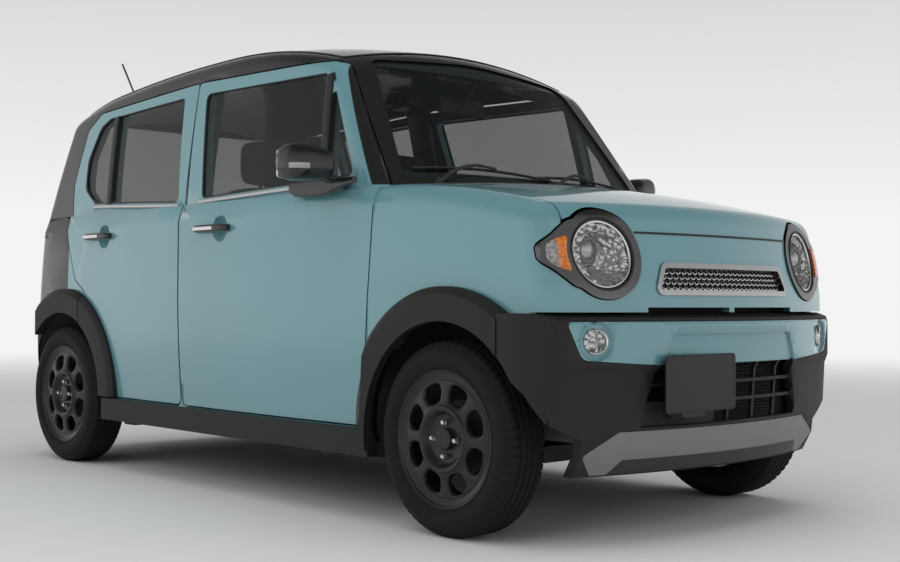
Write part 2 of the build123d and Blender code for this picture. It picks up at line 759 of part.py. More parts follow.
low_flank = sides(LOWER_SIDE, -SEAT)
CLAD_FOOT = 226.0
CORNER_X = -1500.0
SILL_TOP = 290.0
FLARE_FOOT_X = 800.0
DOOR_SWING = 2 * GAP
front_flare = less(flare(FRONT_AXLE_X), front(-SEAT), low_flank)
front_flare = less(
    front_flare,
    prism(side_view(900), FRONT_DOOR, 400, DOOR_SWING),
    block(0, FLARE_FOOT_X, 0, 900, -500, DOOR_FOOT_Z),
    block(0, 3000, 0, 900, -500, CLAD_FOOT),
    block(BUMPER_BACK_X - SEAT, 3000, 0, 900, -500, BUMPER_TOP + SEAT),
)
rear_flare = less(flare(REAR_AXLE_X), lower(-SEAT))
rear_flare = less(
    rear_flare, block(-3000, 0, 0, 900, -500, CLAD_FOOT), block(-3000, CORNER_X, 0, 900, -500, 900)
)
SEAM_X = -1098.0
door_flare = common(rear_flare, block(SEAM_X + GAP / 2, 0, 0, 900, DOOR_FOOT_Z + 2, 900))
quarter_flare = common(rear_flare, block(-3000, SEAM_X - GAP / 2, 0, 900, 0, 900))
sill_zone = block(REAR_AXLE_X + LIP_R, FRONT_AXLE_X - LIP_R, 600, 722, FLOOR_Z + 4, SILL_TOP)
sill = less(sill_zone, low_flank, front_flare)
claddings = pair(joined(front_flare, quarter_flare, sill))
save(claddings, "claddings")

# Lower body: floor, sills, quarters, firewall, wheelhouses and the front structure
CABIN_FRONT_X = 790.0
KICK_X = -780.0
DECK_Z = 420.0
FIREWALL_X = 835.0
post = common(less(BODY_IN, sides(LOWER_SIDE, 116)), prism(side_view(800), POST, 400))
tub = less(
    common(BODY, block(-FAR, FIREWALL_X, 0, 900, FLOOR_Z, BELT_Z)),
    common(BODY_IN, block(KICK_X, CABIN_FRONT_X, -900, 900, FLOOR_Z + 50, BELT_Z + 5)),
    common(BODY_IN, block(-1600, KICK_X, -900, 900, DECK_Z, BELT_Z + 5)),
)
underside = block(-1480, KICK_X - 40, -10, 610, 0, DECK_Z - 45)
cowl_box = common(front(SKIN + SEAT), block(CABIN_FRONT_X, 908, 0, 560, 985, BELT_Z))
wheelhouse = common(arch_disc(REAR_AXLE_X, WELL_R + 12, 488, 660), BODY)
apron = block(FIREWALL_X - 10, 1560, 372, 388, 330, 870)
tower = block(1085, 1250, 380, 545, 826, 842)
rail = common(front(SKIN + SEAT), block(FIREWALL_X - 10, 1490, 372, 760, 850, 872))
cross = common(front(SKIN + SEAT), block(1490, 1548, 0, 470, 600, NOSE_FOOT_Z - SEAT))
beam = common(bumper_solid(30 + SEAT), block(1500, 1800, 0, 520, 560, 600))
support = block(1540, 1556, 0, 388, 330, 870)
jack_pads = [block(x - 40, x + 40, 640, 676, FLOOR_Z - 12, FLOOR_Z + 5) for x in (560, -760)]
body_half = joined(
    tub, post, cowl_box, wheelhouse, apron, tower, rail, cross, beam, support, *jack_pads
)
front_layer = common(less(FRONT_PROUD, front(SKIN + SEAT)), prism(side_view(900), WING_ZONE, 1800))
TAIL_LAMP = [(622, 650, 16), (700, 650, 0), (700, 960, 0), (622, 960, 16)]
lamp_end = block(-FAR, -1480, 0, 900, 0, 1100)
lamp_fill = less(common(BODY, prism(rear_face, TAIL_LAMP, 330, -SEAT), lamp_end), lower(SKIN))
lamp_seat = less(common(lower(-9.7), prism(rear_face, TAIL_LAMP, 330), lamp_end), lower(SKIN + SEAT))
save(pair(lamp_fill), "tail_lamps")
front_well = arch_disc(FRONT_AXLE_X, WELL_R, 390, 900)
rear_well = arch_disc(REAR_AXLE_X, WELL_R, 500, 900)
body_half = less(
    body_half, front_layer, cowl, front_well, rear_well, underside, TAILGATE_CUT, lamp_seat, *DOOR_CUTS
)
lower_body = pair(body_half)
save(lower_body, "lower_body")
rear_bumper = less(
    common(lower(-9.7), block(-FAR, CORNER_X - SEAT, -900, 900, 216, 582)),
    lower(-SEAT), rear_wells,
)
save(rear_bumper, "rear_bumper")

# Door trim: pull handles, mirrors and the arch pieces that ride on the rear doors
MIRROR_X = 622.0
HANDLE_HALF_H = 14.0
FOOT_X = 100.0


def handle(mid_x):
    """A bar on two feet, cut to the door skin."""
    half = HANDLE_LONG / 2
    skin = flank_y(mid_x)
    bar = block(mid_x - half, mid_x + half, skin + 11, skin + 31, HANDLE_Z - HANDLE_HALF_H, HANDLE_Z + HANDLE_HALF_H, 8)
    feet = [
        block(mid_x + sign * FOOT_X - 15, mid_x + sign * FOOT_X + 15, skin - 27, skin + 20, HANDLE_Z - 11, HANDLE_Z + 11)
        for sign in (-1, 1)
    ]
    return less(joined(bar, *feet), lower(-SEAT))


HOUSE_PROUD = greenhouse(-SEAT)
mirror_head = block(MIRROR_X - 62, MIRROR_X + 62, 742, 898, 1066, 1190, 38)
mirror_arm = block(MIRROR_X - 30, MIRROR_X + 42, 640, 770, 1058, 1088, 8)
mirror_arm = less(mirror_arm, HOUSE_PROUD)
front_trim = joined(handle(FRONT_HANDLE_X), joined(mirror_head, mirror_arm))
rear_trim = joined(handle(REAR_HANDLE_X), door_flare)
save(front_trim, "door_front_left_trim")
save(flip(front_trim), "door_front_right_trim")
save(rear_trim, "door_rear_left_trim")
save(flip(rear_trim), "door_rear_right_trim")

# Wheels
BEAD_R = 190.0
RIM_HALF = 62.0
WINDOW_COUNT = 8
WINDOW_R = 146.0
LUG_PCD_R = 50.0
HUB_FACE = 22.0


def tyre():
    """Tyre round the Y axis at the origin."""
    half = TYRE_W / 2
    with BuildPart() as ring:
        with BuildSketch(Plane.XY):
            with BuildLine():
                Polyline((BEAD_R + SEAT, -RIM_HALF), (RIM_R + 4, -RIM_HALF - 9))
                ThreePointArc((RIM_R + 4, -RIM_HALF - 9), (238, -half), (TYRE_R - 18, -half + 12))
                ThreePointArc((TYRE_R - 18, -half + 12), (TYRE_R - 5, -half + 19), (TYRE_R, -half + 32))
                Line((TYRE_R, -half + 32), (TYRE_R, half - 32))
                ThreePointArc((TYRE_R, half - 32), (TYRE_R - 5, half - 19), (TYRE_R - 18, half - 12))
                ThreePointArc((TYRE_R - 18, half - 12), (238, half), (RIM_R + 4, RIM_HALF + 9))
                Polyline((RIM_R + 4, RIM_HALF + 9), (BEAD_R + SEAT, RIM_HALF), (BEAD_R + SEAT, -RIM_HALF))
            make_face()
        revolve(axis=Axis.Y, revolution_arc=360)
    return ring.part


def rim():
    """Pressed disc with eight round-cornered windows, raised hub ring and four lug seats."""
    with BuildPart() as wheel:
        with BuildSketch(Plane.XY):
            with BuildLine():
                Polyline(
                    (BEAD_R, -RIM_HALF), (BEAD_R, RIM_HALF), (RIM_R, RIM_HALF + 8), (RIM_R - 6, RIM_HALF + 10),
                    (178, RIM_HALF - 8), (168, 30), (120, 34), (104, 46), (94, 46), (76, 30), (72, HUB_FACE),
                    (30, HUB_FACE), (30, HUB_FACE - 10), (70, HUB_FACE - 10), (98, 34), (160, 20),
                    (174, -20), (180, -RIM_HALF), close=True,
                )
            make_face()
        revolve(axis=Axis.Y, revolution_arc=360)
        with BuildSketch(Plane.XZ.offset(-80)):
            with PolarLocations(WINDOW_R, WINDOW_COUNT, start_angle=22.5):
                RectangleRounded(40, 62, 16)
        extrude(amount=75, mode=Mode.SUBTRACT)
        with BuildSketch(Plane.XZ.offset(-HUB_FACE - 14)):
            with PolarLocations(LUG_PCD_R, 4, start_angle=45):
                RegularPolygon(10, 6)
        extrude(amount=14 + 5)
        with BuildSketch(Plane.XZ.offset(-HUB_FACE - 12)):
            Circle(33)
        extrude(amount=20)
    return wheel.part


TYRE = tyre()
RIM = rim()
for place, axle_x in (("front", FRONT_AXLE_X), ("rear", REAR_AXLE_X)):
    for side, sign in (("left", 1), ("right", -1)):
        spot = Location((axle_x, sign * HALF_TRACK, AXLE_Z))
        this_tyre = TYRE.moved(spot)
        this_rim = RIM.moved(spot) if sign > 0 else flip(RIM).moved(spot)
        save(this_tyre, f"tyre_{place}_{side}")
        save(this_rim, f"rim_{place}_{side}")

# Running gear
PIN_LOW = (FRONT_AXLE_X, 600.0, 180.0)
PIN_HIGH = (FRONT_AXLE_X, 455.0, 820.0)
UPRIGHT_FOOT = 190.0
UPRIGHT_TOP = 440.0


def pin_point(z):
    """Where the steering axis crosses a height."""
    share = (z - PIN_LOW[2]) / (PIN_HIGH[2] - PIN_LOW[2])
    return (FRONT_AXLE_X, PIN_LOW[1] + share * (PIN_HIGH[1] - PIN_LOW[1]), z)


def knuckle():
    """Left upright with its hub, brake drum and stub below the strut."""
    upright = rod(pin_point(UPRIGHT_FOOT), pin_point(UPRIGHT_TOP), 20)
    hub = rod((FRONT_AXLE_X, 560, AXLE_Z), (FRONT_AXLE_X, HALF_TRACK + HUB_FACE - 10 - SEAT, AXLE_Z), 34)
    disc = rod((FRONT_AXLE_X, 622, AXLE_Z), (FRONT_AXLE_X, 642, AXLE_Z), 112)
    arm = block(FRONT_AXLE_X - 120, FRONT_AXLE_X, 545, 575, AXLE_Z - 60, AXLE_Z - 35)
    return joined(upright, hub, disc, arm)


left_knuckle = knuckle()
save(left_knuckle, "knuckle_left")
save(flip(left_knuckle), "knuckle_right")

strut_tube = rod(pin_point(UPRIGHT_TOP + SEAT), pin_point(700), 21)
spring = rod(pin_point(640), pin_point(822), 50)
strut = common(joined(strut_tube, spring), block(0, 3000, 0, 900, 0, 826 - SEAT))
lower_arm = joined(
    rod((FRONT_AXLE_X, 300, 215), (FRONT_AXLE_X, 600, 160), 11),
    rod((FRONT_AXLE_X - 170, 300, 222), (FRONT_AXLE_X, 600, 160), 11),
    rod(pin_point(150), pin_point(UPRIGHT_FOOT - SEAT), 11),
)
crossmember = block(FRONT_AXLE_X - 210, FRONT_AXLE_X + 60, -352, 352, 195, 245)
ties = block(FRONT_AXLE_X - 60, FRONT_AXLE_X + 20, 348, 372 - SEAT, 200, 420)
front_suspension = joined(crossmember, pair(lower_arm), pair(ties), pair(strut))
save(front_suspension, "front_suspension")

REAR_HUB_Y = HALF_TRACK + HUB_FACE - 10 - SEAT
rear_axle = joined(
    rod((REAR_AXLE_X, -560, AXLE_Z), (REAR_AXLE_X, 560, AXLE_Z), 32),
    pair(rod((REAR_AXLE_X, 560, AXLE_Z), (REAR_AXLE_X, REAR_HUB_Y, AXLE_Z), 40)),
    pair(rod((REAR_AXLE_X, 585, AXLE_Z), (REAR_AXLE_X, 630, AXLE_Z), 120)),
    pair(block(REAR_AXLE_X, -830, 430, 470, AXLE_Z - 40, AXLE_Z - 5)),
    pair(block(-870, -825, 425, 475, AXLE_Z - 40, DECK_Z - 45 - SEAT)),
)
save(rear_axle, "rear_axle")

engine = block(920, 1380, -340, 340, 262, 800, 20)
mounts = block(960, 1100, -200, 200, 245 + SEAT, 272)
engine = joined(engine, mounts)
save(engine, "engine")

# Cabin fittings
DASH = [
    (CABIN_FRONT_X - SEAT, 560, 0), (CABIN_FRONT_X - SEAT, 1040, 20), (560, 1000, 60), (500, 900, 40),
    (540, 760, 60), (600, 560, 20),
]
DASH_HALF = 590.0
dashboard = prism(side_view(DASH_HALF), DASH, 2 * DASH_HALF)
DRIVER_Y = -330.0
COLUMN_END = (430.0, DRIVER_Y, 905.0)
COLUMN_FOOT = (590.0, DRIVER_Y, 800.0)
column = rod(COLUMN_FOOT, COLUMN_END, 22)
dashboard = joined(dashboard, column)
save(dashboard, "dashboard")

WHEEL_TILT = Plane(origin=COLUMN_END, z_dir=Vector(*COLUMN_END) - Vector(*COLUMN_FOOT))
STEER_R = 180.0
with BuildPart() as steering_wheel:
    with BuildSketch(Plane(WHEEL_TILT.origin, x_dir=WHEEL_TILT.z_dir, z_dir=(0, 1, 0))) as grip:
        with Locations((62, STEER_R)):
            Circle(14)
    revolve(axis=Axis(COLUMN_END, WHEEL_TILT.z_dir), revolution_arc=360)
    with BuildSketch(WHEEL_TILT.offset(SEAT)):
        Circle(30)
    extrude(amount=40)
    with BuildSketch(WHEEL_TILT.offset(34)):
        Circle(70)
    extrude(amount=30)
    with BuildSketch(WHEEL_TILT.offset(54)):
        with PolarLocations(115, 3, start_angle=90):
            Rectangle(132, 36)
    extrude(amount=12)
save(steering_wheel.part, "steering_wheel")

SEAT_W = 480.0
SOFT_R = 45.0


def front_seat(mid_y):
    """Cushion, back and head pad of one front seat, standing on the floor."""
    half = SEAT_W / 2
    cushion = block(-190, 310, mid_y - half, mid_y + half, 430, 560, SOFT_R)
    back = block(-330, -200, mid_y - half, mid_y + half, 520, 1120, SOFT_R)
    head = block(-330, -235, mid_y - 120, mid_y + 120, 1140, 1310, 35)
    stalk = block(-290, -270, mid_y - 60, mid_y + 60, 1100, 1150)
    base = block(-170, 270, mid_y - 180, mid_y + 180, FLOOR_Z + 50, 440)
    tie = block(-260, -150, mid_y - 150, mid_y + 150, 470, 560)
    return joined(cushion, back, head, stalk, base, tie)


bench_half = 470.0
bench = joined(
    block(-1060, -560, -bench_half, bench_half, 440, 560, SOFT_R),
    block(-1180, -1050, -bench_half, bench_half, 500, 1090, SOFT_R),
    block(KICK_X + 10, -600, -bench_half + 30, bench_half - 30, FLOOR_Z + 50, 460),
    block(-1040, -600, -bench_half + 30, bench_half - 30, DECK_Z, 460),
    block(-1120, -1000, -bench_half + 60, bench_half - 60, 440, 560),
)
seats = joined(front_seat(DRIVER_Y), front_seat(-DRIVER_Y), bench)
save(seats, "seats")

inside_mirror = block(452, 476, -110, 110, 1372, 1436, 10)
stem = rod((468, 0, 1400), (620, 0, 1560), 8)
inside_mirror = common(joined(inside_mirror, stem), greenhouse(GLASS_IN + GLASS_THICK + SEAT))
save(inside_mirror, "inside_mirror")

ANTENNA_FOOT = (-1290.0, -350.0, 1560.0)
ANTENNA_TIP = (-1450.0, -350.0, 1770.0)
antenna = less(
    joined(rod(ANTENNA_FOOT, ANTENNA_TIP, 4), rod((-1300, -350, 1560), (-1300, -350, 1600), 16)), greenhouse(-SEAT)
)
save(antenna, "antenna")
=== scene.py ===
import json
import math

import bmesh
import bpy
import numpy as np
from mathutils import Matrix, Vector

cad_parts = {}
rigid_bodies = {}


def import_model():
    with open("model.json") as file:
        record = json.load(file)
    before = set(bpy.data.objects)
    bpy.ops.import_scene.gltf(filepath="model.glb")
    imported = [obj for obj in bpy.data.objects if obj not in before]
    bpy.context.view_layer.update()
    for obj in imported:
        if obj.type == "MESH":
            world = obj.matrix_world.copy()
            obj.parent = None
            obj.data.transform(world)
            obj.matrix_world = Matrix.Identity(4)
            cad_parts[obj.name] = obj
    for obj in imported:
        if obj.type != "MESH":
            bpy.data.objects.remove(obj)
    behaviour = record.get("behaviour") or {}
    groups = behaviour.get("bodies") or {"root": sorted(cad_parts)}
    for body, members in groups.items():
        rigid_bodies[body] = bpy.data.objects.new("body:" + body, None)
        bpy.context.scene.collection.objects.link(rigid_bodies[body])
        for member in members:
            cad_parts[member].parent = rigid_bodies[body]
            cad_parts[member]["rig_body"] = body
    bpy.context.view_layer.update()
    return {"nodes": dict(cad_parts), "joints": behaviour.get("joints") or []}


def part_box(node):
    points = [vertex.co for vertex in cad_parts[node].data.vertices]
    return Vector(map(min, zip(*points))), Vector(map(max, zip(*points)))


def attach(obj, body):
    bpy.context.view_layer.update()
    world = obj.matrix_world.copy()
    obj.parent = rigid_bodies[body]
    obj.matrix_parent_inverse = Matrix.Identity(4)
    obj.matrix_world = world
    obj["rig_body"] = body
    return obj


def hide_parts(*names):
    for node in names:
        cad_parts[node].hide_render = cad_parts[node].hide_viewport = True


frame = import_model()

NODES = frame["nodes"]
SIDES = (("left", 1), ("right", -1))
ENDS = ("front", "rear")
JOINTS = {joint["name"]: joint for joint in frame["joints"]}

# Driving places and sizes, in metres
AXLE = {end: np.array(JOINTS[f"wheel_{end}_left_spin"]["pos_m"]) for end in ENDS}
TYRE_R = AXLE["front"][2]
LAMP_Y, LAMP_Z = 0.495, 0.825
HUB_FACE = 0.056
LUG_CIRCLE_R, NUTS = 0.05, 4
AHEAD, ASIDE = (1, 0, 0), (0, 1, 0)

# Photograph's camera, in the part's frame
CAMERA_AT = Vector((4.023, -3.2885, 0.6936))
CAMERA_LOOK = Vector((-0.73968, 0.6728, 0.01466))
CAMERA_ROLL = math.radians(0.27)
CAMERA_LENS = 52.62
SENSOR = 36


def two_way(operation):
    """An operator and its reflected form, each adding one Math node."""
    return (
        lambda self, other: self.maths(operation, self, other),
        lambda self, other: self.maths(operation, other, self),
    )


class Wire:
    """A shader socket that takes part in Python arithmetic."""

    def __init__(self, tree, socket):
        self.tree = tree
        self.socket = socket

    def maths(self, operation, *operands):
        return self.tree.node("ShaderNodeMath", {"operation": operation}, *operands)

    __add__, __radd__ = two_way("ADD")
    __sub__, __rsub__ = two_way("SUBTRACT")
    __mul__, __rmul__ = two_way("MULTIPLY")
    both = __mul__
    either = two_way("MAXIMUM")[0]

    def __abs__(self):
        return self.maths("ABSOLUTE", self)

    def above(self, edge, soft):
        """0 below the edge, 1 above it, with a soft step between."""
        settings = {"interpolation_type": "SMOOTHSTEP"}
        return self.tree.node("ShaderNodeMapRange", settings, self, edge - soft, edge + soft)


class Tree:
    """A node tree: nodes come from one method."""

    def __init__(self, owner):
        owner.use_nodes = True
        self.nodes = owner.node_tree.nodes
        self.links = owner.node_tree.links

    def node(self, kind, settings=None, *inputs, out=0, **named):
        """Any node: its settings first, then its inputs by place or by name; gives one output."""
        made = self.nodes.new(kind)
        for key, value in (settings or {}).items():
            setattr(made, key, value)
        pairs = list(enumerate(inputs)) + [(key.replace("_", " "), value) for key, value in named.items()]
        for key, value in pairs:
            self.join(value, made.inputs[key])
        return Wire(self, made.outputs[out])

    def join(self, value, socket):
        if isinstance(value, Wire):
            self.links.new(value.socket, socket)
        elif value is not None:
            socket.default_value = value


class Paint(Tree):
    """One material: its Principled shader, with constants on the shader's own sockets."""

    def __init__(self, name, **constants):
        self.material = bpy.data.materials.new(name)
        super().__init__(self.material)
        self.shader = self.nodes["Principled BSDF"]
        self.spot = self.node("ShaderNodeTexCoord", out=3)
        for socket, value in constants.items():
            self.put(socket.replace("_", " "), value)

    def put(self, socket, value):
        self.join(value, self.shader.inputs[socket])
        return self

    def place(self):
        """The three parts of the Object coordinates."""
        return [self.node("ShaderNodeSeparateXYZ", None, self.spot, out=axis) for axis in range(3)]

    def noise(self, scale, detail=2, rough=0.5):
        inputs = {"Vector": self.spot, "Scale": scale, "Detail": detail, "Roughness": rough}
        return self.node("ShaderNodeTexNoise", **inputs)

    def ribs(self, scale, way="Z"):
        return self.node("ShaderNodeTexWave", {"bands_direction": way}, Vector=self.spot, Scale=scale)

    def cells(self, scale):
        return self.node("ShaderNodeTexVoronoi", Vector=self.spot, Scale=scale)

    def blend(self, share, first, second):
        """A colour between two, by a share from 0 to 1."""
        made = self.node("ShaderNodeMix", {"data_type": "RGBA"}, out=2)
        for key, value in ((0, share), (6, first), (7, second)):
            self.join(value, made.socket.node.inputs[key])
        return made

    def colour(self, share, first, second):
        return self.put("Base Color", self.blend(share, first, second))

    def grain(self, height, strength, distance):
        bump = self.node("ShaderNodeBump", None, Strength=strength, Distance=distance, Height=height)
        return self.put("Normal", bump)


def shade(level, tint=(1, 1, 1)):
    """A grey of that level times a tint, as a colour with full alpha."""
    return (level * tint[0], level * tint[1], level * tint[2], 1)


# Finishes
TEAL_DEEP = (0.108, 0.262, 0.295, 1)
TEAL_PALE = (0.15, 0.325, 0.362, 1)
GLASS_DARK, GLASS_PALE = shade(0.012, (0.8, 1, 1)), shade(0.02, (0.8, 1, 1))
LINING_DARK, LINING_PALE = shade(0.018), shade(0.04)


def arch_mask(x, y, z):
    """Inside the wheel arches, where the flares end and the wells begin."""
    mask = None
    for axle in AXLE.values():
        reach = (x - axle[0]) * (x - axle[0]) + (z - axle[2]) * (z - axle[2])
        near = 1 - reach.above(WELL_R**2, 0.002)
        mask = near if mask is None else mask.either(near)
    return mask


def two_tone(name, black_where):
    """Teal paint that turns gloss black where a mask of the place says so, and dark lining on inner faces."""
    paint = Paint(name, Metallic=0.1, Coat_Roughness=0.03)
    parts = paint.place()
    flake = paint.noise(2.2) * 0.55 + paint.noise(2600, 1) * 0.45
    teal = paint.blend(flake, TEAL_DEEP, TEAL_PALE)
    black = paint.blend(paint.noise(9), shade(0.007), shade(0.013))
    mask = black_where(*parts)
    inside = paint.node("ShaderNodeAttribute", {"attribute_name": "inside"}, out=2)
    lining = paint.blend(paint.noise(700), LINING_DARK, LINING_PALE)
    paint.colour(inside, paint.blend(mask, teal, black), lining)
    paint.put("Roughness", 0.28 - mask * 0.08 + inside * 0.35)
    paint.put("Coat Weight", 1 - inside)
    return paint.grain(paint.noise(260), 0.02, 0.0004).material


def pillar_mask(x, y, z):
    """The strip of the front door ahead of the painted line along the pillar, and the arch's edge."""
    strip = (x + (z - PILLAR_FOOT_Z) * PILLAR_LEAN).above(PILLAR_FOOT_X, 0.0015)
    return strip.both(z.above(PILLAR_LOW_Z, 0.002)).either(arch_mask(x, y, z))


def upper_mask(x, y, z):
    """Everything above the belt line."""
    return z.above(TAILGATE_SPLIT_Z, 0.002)


def shell_paint():
    """The lower shell: teal outside, black behind the rear doors, dark trim inside the cabin."""
    paint = Paint("shell_paint", Metallic=0.1, Coat_Roughness=0.04)
    x, y, z = paint.place()
    width = abs(y)
    inner = (1 - width.above(CABIN_HALF, 0.002)).both(x.above(CABIN_BACK_X, 0.004))
    inner = inner.both(1 - x.above(CABIN_FRONT_X, 0.01))
    inner = inner.either(1 - z.above(SHELL_DARK_Z, 0.003)).either(arch_mask(x, y, z))
    quarter = 1 - x.above(QUARTER_X, 0.001)
    grit = paint.noise(700)
    drift = paint.noise(2.2)
    outer = paint.blend(quarter, paint.blend(drift, TEAL_DEEP, TEAL_PALE), shade(0.01))
    paint.colour(inner, outer, paint.blend(grit, LINING_DARK, LINING_PALE))
    paint.put("Roughness", 0.26 + inner * 0.5)
    paint.put("Coat Weight", 1 - inner.either(quarter * 0.9))
    return paint.grain(grit * inner, 0.3, 0.0006).material


def mottled(name, dark, light, noise, rough, grain=None, **constants):
    """Two tones blended by noise, which also sways the roughness; a second noise may give a grain."""
    paint = Paint(name, Roughness=rough[0], **constants)
    cloud = paint.noise(*noise)
    paint.colour(cloud, dark, light)
    if rough[1]:
        paint.put("Roughness", rough[0] + cloud * rough[1])
    if grain:
        paint.grain(paint.noise(*grain[0]), *grain[1])
    return paint.material


def black_gloss(name):
    """Deep black paint under clear coat, with faint haze."""
    light = shade(0.013, (1, 1.02, 1.06))
    return mottled(name, shade(0.007), light, (9,), (0.08, 0.06), Coat_Weight=0.25, Coat_Roughness=0.03)


def moulded(name, dark, light, rough, grain_scale=900, depth=0.0003):
    """Moulded plastic: a leathery grain, uneven sheen and a little colour drift."""
    paint = Paint(name, Specular_IOR_Level=0.35)
    grit = paint.noise(grain_scale, 3)
    drift = paint.noise(6)
    paint.colour(drift * 0.6 + grit * 0.4, shade(dark), shade(light))
    paint.put("Roughness", rough - 0.06 + drift * 0.12)
    return paint.grain(grit, 0.35, depth).material


def bright_metal(name, level, rough):
    """Plated or polished metal with faint clouding."""
    light = shade(level, (1, 1.01, 1.03))
    return mottled(name, shade(level * 0.93), light, (30, 3), (rough, 0.05), Metallic=1)


def rubber():
    """Tyre rubber: dark, dusty in the low spots, finely grained."""
    dusty = shade(0.014, (1.05, 1, 0.95))
    grain = (1400,), (0.2, 0.0003)
    return mottled("rubber", shade(0.007), dusty, (24, 4), (0.62, 0.2), grain, Specular_IOR_Level=0.2)


def cast(name, dark, light, metal):
    """Cast or stamped running gear: mottled, dull and a little rough."""
    mottle = (40, 5, 0.65)
    grain = mottle, (0.3, 0.001)
    return mottled(name, shade(dark), shade(light), mottle, (0.5, 0.3), grain, Metallic=metal)


def reflector():
    """Faceted lamp mirror: cells of slightly different tilt."""
    paint = Paint("reflector", Metallic=1)
    cell = paint.cells(58)
    paint.colour(cell, shade(0.78), shade(0.42))
    paint.put("Roughness", 0.06 + cell * 0.1)
    return paint.grain(cell, 0.9, 0.012).material


def skid_finish():
    """Grey moulded plate with a dark lower lip."""
    paint = Paint("skid_plastic")
    _, y, z = paint.place()
    grit = paint.noise(900, 3)
    ends = (abs(y) + (z - SKID_LIP_Z) * 0.9).above(SKID_LIP_HALF, 0.002)
    lip = (1 - z.above(SKID_LIP_Z, 0.0015)).both(1 - ends)
    grey = paint.blend(grit, shade(0.165), shade(0.205))
    paint.colour(lip, grey, shade(0.018))
    paint.put("Roughness", 0.4 + grit * 0.1)
    return paint.grain(grit, 0.3, 0.0003).material


def tail_lens():
    """Red lamp at the rear face, black cover round the corner."""
    paint = Paint("tail_lens", Roughness=0.08, Coat_Weight=0.6, Coat_Roughness=0.02)
    x, _, z = paint.place()
    side = x.above(TAIL_RED_X, 0.002)
    band = z.above(TAIL_BAND_Z[0], 0.002).both(1 - z.above(TAIL_BAND_Z[1], 0.002))
    red = paint.blend(band, (0.3, 0.006, 0.008, 1), shade(0.55))
    paint.colour(side, red, shade(0.008))
    return paint.grain(paint.ribs(60) * (1 - side), 0.4, 0.002).material


def indicator_lens():
    """Clear cover with amber behind its inner half."""
    paint = Paint("indicator_lens", Roughness=0.05, Coat_Weight=0.8, Coat_Roughness=0.02)
    _, y, _ = paint.place()
    cell = paint.cells(90)
    outer = abs(y).above(AMBER_END_Y, 0.01)
    amber = paint.blend(cell, (0.9, 0.26, 0.015, 1), (0.42, 0.075, 0.006, 1))
    paint.colour(outer, amber, paint.blend(cell, shade(0.45), shade(0.08)))
    return paint.grain(cell, 0.7, 0.006).material


def clear_lens():
    """Clear lamp cover with faint haze."""
    return mottled("clear_lens", shade(0.85), shade(0.765), (15,), (0.04, 0), Alpha=0.06)


def lamp_strip():
    """Pale lamp cover with fine moulded ribs."""
    paint = Paint("lamp_strip", Roughness=0.04, Alpha=0.95)
    paint.colour(paint.noise(15), shade(0.45), shade(0.405))
    return paint.grain(paint.ribs(220), 0.4, 0.002).material


def window_glass():
    """Tinted window: clear enough to see the cabin, with a sharp reflection."""
    return mottled("side_glass", GLASS_DARK, GLASS_PALE, (3,), (0.02, 0), Alpha=0.42)


def screen_glass():
    """Windscreen: clear in the middle, with a black printed band round its edge."""
    paint = Paint("screen_glass", Roughness=0.02)
    _, y, z = paint.place()
    width = abs(y) + (z - SCREEN_FOOT_Z) * SCREEN_LEAN
    band = width.above(SCREEN_HALF, 0.002).either(z.above(SCREEN_TOP_Z, 0.004))
    band = band.either(1 - z.above(SCREEN_FOOT_Z, 0.004))
    haze = paint.noise(3)
    paint.colour(haze, GLASS_DARK, GLASS_PALE)
    return paint.put("Alpha", 0.34 + band * 0.66).material


def weave(name, dark, light):
    """Woven seat cloth: two crossed thread waves, with painted light on the threads and painted shade in the
    gaps between them.
    """
    paint = Paint(name, Sheen_Weight=0.3, Sheen_Roughness=0.5)
    thread = paint.ribs(150, "Y").either(paint.ribs(150, "DIAGONAL"))
    soil = paint.noise(12)
    # Colour lighter on the thread crests and darker in the gaps is painted light and shade; the soil noise
    # adds real soiling
    paint.colour(thread * 0.7 + soil * 0.3, shade(dark), shade(light))
    paint.put("Roughness", 0.95 - thread * 0.12)
    return paint.grain(thread, 0.5, 0.0008).material


QUARTER_X = -1.262
CABIN_HALF, CABIN_BACK_X, CABIN_FRONT_X = 0.668, -1.6, 1.58
PILLAR_FOOT_X, PILLAR_FOOT_Z, PILLAR_LOW_Z, PILLAR_LEAN = 0.753, 1.091, 1.059, 0.605
TAILGATE_SPLIT_Z, SHELL_DARK_Z, WELL_R = 1.062, 0.226, 0.425
SKID_LIP_Z, SKID_LIP_HALF = 0.246, 0.43
TAIL_RED_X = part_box("tail_lamps")[0].x + 0.075
TAIL_BAND_Z = (0.835, 0.875)
AMBER_END_Y = 0.64
SCREEN_FOOT_Z, SCREEN_TOP_Z, SCREEN_HALF, SCREEN_LEAN = 1.112, 1.497, 0.556, 0.262

